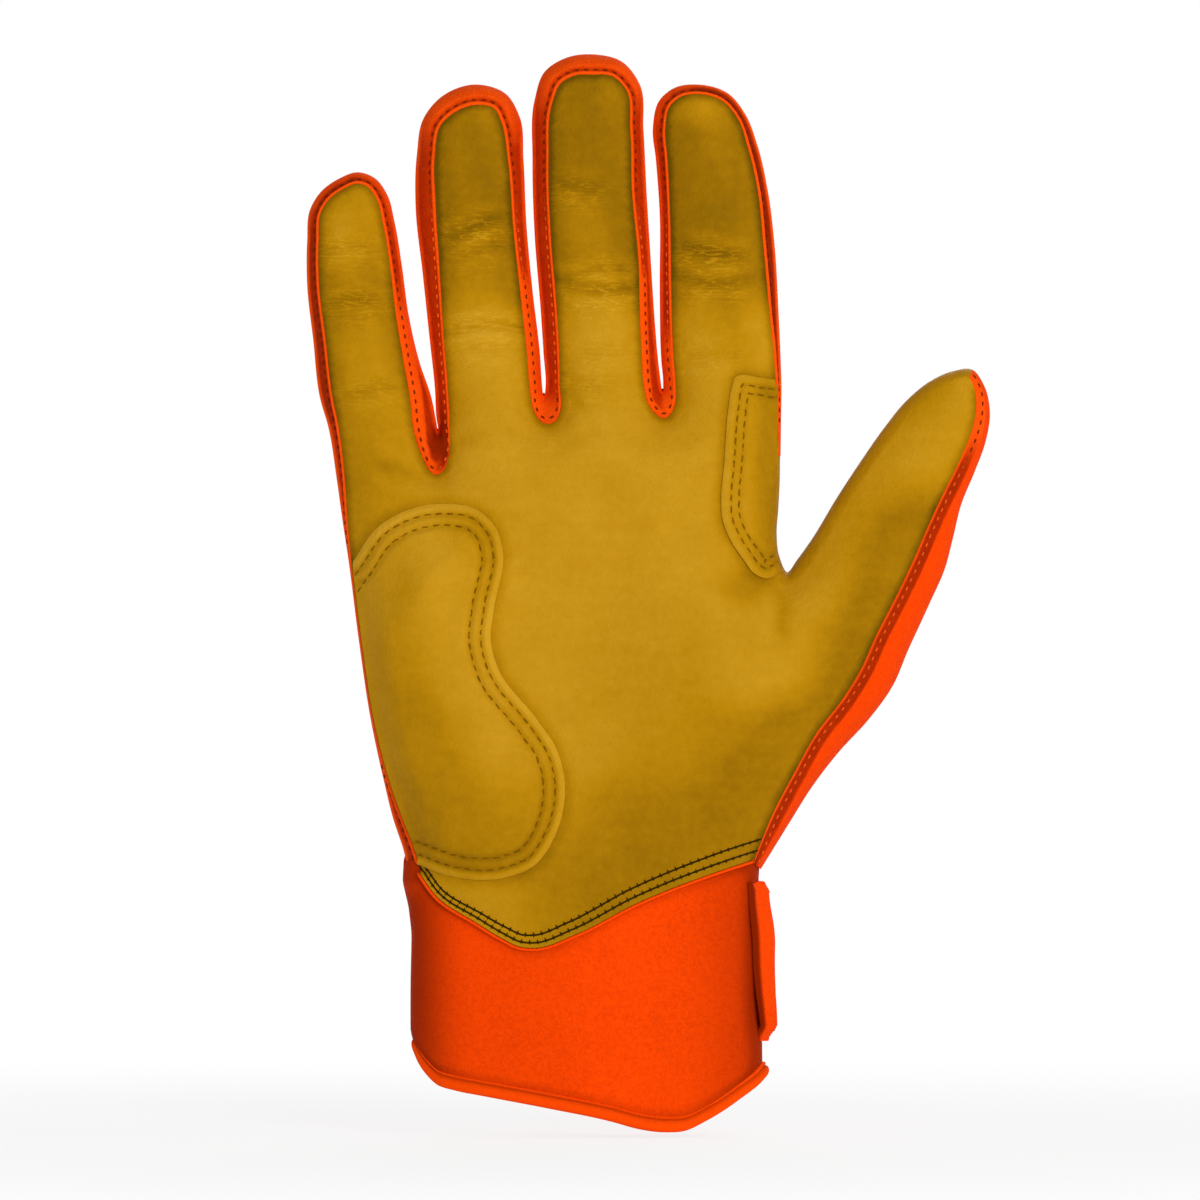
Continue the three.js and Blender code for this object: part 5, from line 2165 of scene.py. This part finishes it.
            # Painted shade in the binding's groove.
            shade.append(np.full(HEM_COLUMNS, 0.6 * groove))
        points = np.concatenate(rows)
        faces = grid_faces(HEM_SIDES + 1, HEM_COLUMNS) % len(points)
        first = np.arange(HEM_SIDES) * HEM_COLUMNS
        last = first[::-1] + HEM_COLUMNS - 1
        every = [*faces[:, ::-1].tolist(), first.tolist(), last.tolist()]
        return write_mesh("cuff_hem", points, every, None, {"fold": np.concatenate(shade)})

    def ribs(self, turn: Array, z: Array | float) -> Array | float:
        """Distance of the elastic's ribbed face from the cuff's outer face."""
        return -self.wall - 0.5 - 0.25 * np.cos(z * math.pi)

    def make(self) -> None:
        """Builds and dresses the cuff."""
        palm = curve_through(PALM_HEM, 1.0)[::-1]
        little, thumb = (self.angle_at(VENT_MIDDLE + side * self.vent_half) for side in (-1, 1))
        walls = {
            "cuff_front": (math.pi, 2 * math.pi, 150, lambda x: np.interp(x, *palm.T)),
            "cuff_back_thumb_side": (0, thumb, 84, lambda x: BACK_HEM + 0 * x),
            "cuff_back_little_side": (little, math.pi, 66, lambda x: BACK_HEM + 0 * x),
        }
        for name, plan in walls.items():
            piece = dress(self.wall_piece(name, *plan), self.finishes.cuff, "cuff_foam", "hand", name)
        hem = self.hem(little + self.hem_gap, thumb + 2 * math.pi - self.hem_gap)
        dress(hem, self.finishes.binding, "binding", "hand", "cuff_hem")
        elastic = self.sheet(self.path(*self.elastic_turn, 90), *self.elastic_levels, self.ribs, 30)
        elastic = elastic.shell("wrist_elastic", 0.9)
        dress(elastic, self.finishes.binding, "binding", "hand", "wrist_elastic")
        gusset = self.pad("vent_gusset", VENT_GUSSET)
        dress(gusset, self.finishes.stretch, "stretch_cloth", "hand", "vent_gusset")
        dress(self.pad("loop_pad", LOOP_PAD), self.finishes.pile, "hook_loop", "hand", "loop_pad")


ROOT_ROWS = 40
ROOT_COLUMNS = 24


@dataclass
class Strap:
    """The wrist strap with its sewn root, hook pad and bare patch."""

    cuff: Cuff
    finishes: Finishes
    low: float = 21.0
    high: float = 58.0
    out: float = 4.5
    wall: float = 1.8
    end_radius: float = 9.0
    end_step: Pair = (0.09, 0.0005)
    free_end: float = -36.0
    root: float = -0.012
    root_slant: Pair = (-0.22, -0.4)
    root_shade_widths: Pair = (1.1, 3.0)
    root_roll: Fade = Fade(0.9, 1.0, 0)
    near_root: Fade = Fade(1, 0.5, 0.1)
    border_dips: tuple[Fade, ...] = (Fade(1.7, 43, 57), Fade(1.1, 56, 58), Fade(2.6, 25, low))
    sewn: Fade = Fade(2.6, 0.0, -0.3)
    thread: Thread = Thread(1.7, 0.22, 2.6)
    thread_margin: float = 2.4
    thread_lift: float = 0.02
    patch_size: Triple = (24.0, 2.3, 14.0)
    patch_middle: Triple = (0.0, 20.05, 39.5)

    def span(self, angles: Array, margin: float) -> tuple[Array, Array]:
        """Lower and upper edge of the strap along its length, with rounded corners at its free end.

        Args:
            angles: Angles of the columns, the free end last.
            margin: Distance inside the border.

        Returns:
            Lower and upper heights.
        """
        line = self.cuff.ring(angles, PATH_LEVEL, self.out)
        left = travel(line[::-1])[::-1] + margin
        radius = self.end_radius
        cut = radius - np.sqrt(np.maximum(radius ** 2 - np.maximum(radius - left, 0) ** 2, 0))
        return self.low + margin + cut, self.high - margin - cut

    def reach(self, angles: Array, z: Array) -> Array:
        """Distance of the strap's outer face from the cuff; near its root it lies closer at both borders.

        Args:
            angles: Angles round the cuff.
            z: Heights.

        Returns:
            One distance for each place.
        """
        dip = sum(fade.of(z) for fade in self.border_dips)
        middle, half = (self.low + self.high) / 2, (self.high - self.low) / 2
        quilt = 0.2 * np.cos((z - middle) / half * math.pi) ** 2
        return self.out - quilt - self.near_root.of(np.abs(angles)) * dip - self.sewn.of(angles)

    def anchor(self) -> Skin:
        """Shapes the sewn root, whose border slants on the cuff and rolls under, with painted shade along that
        border.

        Returns:
            Its outer skin.
        """
        starts = np.linspace(*self.root_slant, ROOT_ROWS)
        angles = np.array([np.linspace(start, self.root - 0.004, ROOT_COLUMNS) for start in starts])
        sheet = self.cuff.sheet(angles, self.low, self.high, self.reach, ROOT_ROWS)
        rows = sheet.points.reshape(ROOT_ROWS, ROOT_COLUMNS, 3)
        lead = np.linalg.norm(rows - rows[:, :1], axis=2).ravel()
        points = sheet.points - sheet.normals * self.root_roll.of(lead)[:, None]
        width = np.repeat(np.linspace(*self.root_shade_widths, ROOT_ROWS), ROOT_COLUMNS)
        # Painted shade along the rolled border.
        return Skin(points, sheet.faces, {"fold": 0.97 * smoothstep(1, 1 / 3, lead / width)})

    def make(self) -> None:
        """Builds and dresses the strap."""
        cuff = self.cuff
        end = cuff.angle_at(self.free_end)
        tip = np.linspace(*(end - step for step in self.end_step), 24)
        angles = np.unique(np.concatenate([cuff.path(self.root, end, 110)[:-8], tip]))
        strap = cuff.sheet(angles, *self.span(angles, 0), self.reach, 40)
        dress(strap.shell("strap", self.wall), self.finishes.cuff, "cuff_foam", STRAP_ROOT, "strap")
        anchor = self.anchor().shell("strap_anchor", self.wall)
        dress(anchor, self.finishes.cuff, "cuff_foam", "hand", "strap_anchor")
        dress(cuff.pad("hook_pad", HOOK_PAD), self.finishes.pile, "hook_loop", "wrist_strap", "hook_pad")
        self.sew(end)
        self.patch()

    def sew(self, end: float) -> None:
        """Sews a row of stitches along the strap's border.

        Args:
            end: Angle of the strap's free end.
        """
        tip = end - self.thread_margin / (CUFF_HALF_DEPTH + 26)
        angles = np.linspace(self.root + 0.02, tip, 500)
        low, high = self.span(angles, self.thread_margin)
        turn = np.linspace(low[-1], high[-1], 30)
        angles = np.concatenate([angles, np.full(30, tip), angles[::-1]])
        heights = np.concatenate([low, turn, high[::-1]])
        line = self.cuff.ring(angles, heights, self.reach(angles, heights) + self.thread_lift)
        outward = line * (0.2, 1, 0)
        stitches = Stitches.on_line(line, outward, self.thread.pitch)
        dress(stitches.mesh("strap_stitches", self.thread), self.finishes.red_thread, "cuff_foam", STRAP_ROOT)

    def patch(self) -> None:
        """Adds the bare moulded patch."""
        bpy.ops.object.select_all(action="DESELECT")
        bpy.ops.mesh.primitive_cube_add(size=1, location=tuple(c * MM for c in self.patch_middle))
        piece = bpy.context.object
        piece.name = look_name("strap_patch")
        piece.scale = tuple(c * MM for c in self.patch_size)
        bpy.ops.object.transform_apply(location=True, rotation=False, scale=True)
        bpy.ops.object.mode_set(mode="EDIT")
        bpy.ops.mesh.select_all(action="SELECT")
        bpy.ops.mesh.bevel(offset=0.9 * MM, segments=4, affect="EDGES")
        bpy.ops.object.mode_set(mode="OBJECT")
        bpy.ops.object.shade_smooth_by_angle(angle=math.radians(40))
        rest = piece.data.attributes.new("rest", "FLOAT_VECTOR", "POINT")
        for item, vertex in zip(rest.data, piece.data.vertices):
            item.vector = vertex.co
        dress(piece, self.finishes.rubber, "soft_rubber", "wrist_strap", "strap_patch")


# Light, floor and camera

@dataclass(frozen=True)
class Lamp:
    """A square soft light that faces the glove."""

    name: str
    place: Triple
    size: float
    watts: float

    def make(self, aim: Vector) -> None:
        """Adds the light.

        Args:
            aim: Place that it points at.
        """
        data = bpy.data.lights.new(self.name, "AREA")
        data.size = self.size
        data.energy = self.watts
        lamp = bpy.data.objects.new(self.name, data)
        lamp.location = self.place
        lamp.rotation_euler = (aim - lamp.location).to_track_quat("-Z", "Y").to_euler()
        bpy.context.scene.collection.objects.link(lamp)


@dataclass
class Studio:
    """A white room with soft light from the front and a long lens."""

    distance: float = 3.0
    middle: Triple = (0.0023, 0.0, 0.1235)
    frame_width: float = 0.2791
    floor_level: float = -0.0012
    floor_radius: float = 9.0
    ambient: float = 0.26
    floor_glow: float = 1.0
    floor_share: Pair = (0.55, 0.83)
    floor_fade: Pair = (0.1, 0.55)
    lamps: tuple[Lamp, ...] = (
        Lamp("key", (0.8, -2.2, 1.0), 0.9, 32), Lamp("fill", (-1.2, -2.2, 0.6), 1.2, 5),
        Lamp("side_light", (2.0, -0.5, 0.5), 1.0, 6), Lamp("back_light", (0.3, 2.1, 1.1), 1.4, 22),
    )

    def seen(self, nodes: Nodes) -> Signal:
        """Tells what the camera sees, straight or through a reflection or glass, from light.

        Args:
            nodes: Node tree of the room.

        Returns:
            1 for what is seen and 0 for light.
        """
        path = nodes.node("ShaderNodeLightPath", {}, {})
        seen = Signal(nodes, path.outputs["Is Camera Ray"])
        for name in ("Is Glossy Ray", "Is Transmission Ray"):
            seen = nodes.maths("MAXIMUM", seen, Signal(nodes, path.outputs[name]))
        return seen

    def world(self) -> None:
        """White for the camera and for reflections, softer for the light that reaches the glove."""
        world = bpy.data.worlds.new("white_room")
        bpy.context.scene.world = world
        world.use_nodes = True
        nodes = Nodes(world.node_tree)
        seen = self.seen(nodes)
        strength = seen * (1 - self.ambient) + self.ambient
        inputs = {"Color": (1, 1, 1, 1), "Strength": strength}
        light = nodes.signal("ShaderNodeBackground", {}, inputs, "Background")
        nodes.node("ShaderNodeOutputWorld", {}, {"Surface": light})

    def floor(self) -> None:
        """A pale floor just under the glove."""
        bpy.ops.object.select_all(action="DESELECT")
        bpy.ops.mesh.primitive_circle_add(
            vertices=96, radius=self.floor_radius, fill_type="NGON", location=(0, 0, self.floor_level))
        floor = bpy.context.object
        floor.name = "floor"
        material = bpy.data.materials.new("floor")
        material.use_nodes = True
        nodes = Nodes(material.node_tree)
        matt = nodes.signal("ShaderNodeBsdfDiffuse", {}, {"Color": (0.9, 0.9, 0.9, 1)}, "BSDF")
        glow = nodes.signal("ShaderNodeEmission", {}, {"Strength": self.floor_glow}, "Emission")
        place = nodes.signal("ShaderNodeTexCoord", {}, {}, "Object")
        away = nodes.signal("ShaderNodeVectorMath", {"operation": "LENGTH"}, {0: place}, "Value")
        settings = {"interpolation_type": "SMOOTHSTEP"}
        near, far = self.floor_fade
        lit, shown = self.floor_share
        least = self.seen(nodes) * (shown - lit) + lit
        share = nodes.signal("ShaderNodeMapRange", settings, {0: away, 1: near, 2: far, 3: least, 4: 1.0}, 0)
        mixed = nodes.signal("ShaderNodeMixShader", {}, {0: share, 1: matt, 2: glow}, "Shader")
        nodes.node("ShaderNodeOutputMaterial", {}, {"Surface": mixed})
        floor.data.materials.append(material)

    def camera(self) -> None:
        """A long lens square on to the palm."""
        data = bpy.data.cameras.new("camera")
        data.sensor_width = 36
        data.lens = 36 * self.distance / self.frame_width
        data.clip_end = 50
        camera = bpy.data.objects.new("camera", data)
        camera.location = Vector(self.middle) - Vector((0, self.distance, 0))
        camera.rotation_euler = (math.pi / 2, 0, 0)
        bpy.context.scene.collection.objects.link(camera)
        bpy.context.scene.camera = camera

    def make(self) -> None:
        """Builds the room."""
        self.world()
        self.floor()
        for lamp in self.lamps:
            lamp.make(Vector(self.middle))
        self.camera()
        bpy.context.scene.view_settings.view_transform = "Standard"


def main() -> None:
    """Builds the glove's pieces in order, then the room."""
    logging.basicConfig(level=logging.INFO, format="%(message)s")
    finishes = Finishes()
    outline = Outline()
    cuff = Cuff(finishes)
    panels = Panels(outline, cuff, finishes)
    panels.make()
    Bands(outline, panels, finishes).make()
    Overlays(outline, panels, finishes).make()
    cuff.make()
    Strap(cuff, finishes).make()
    Studio().make()


if __name__ == "__main__":
    main()
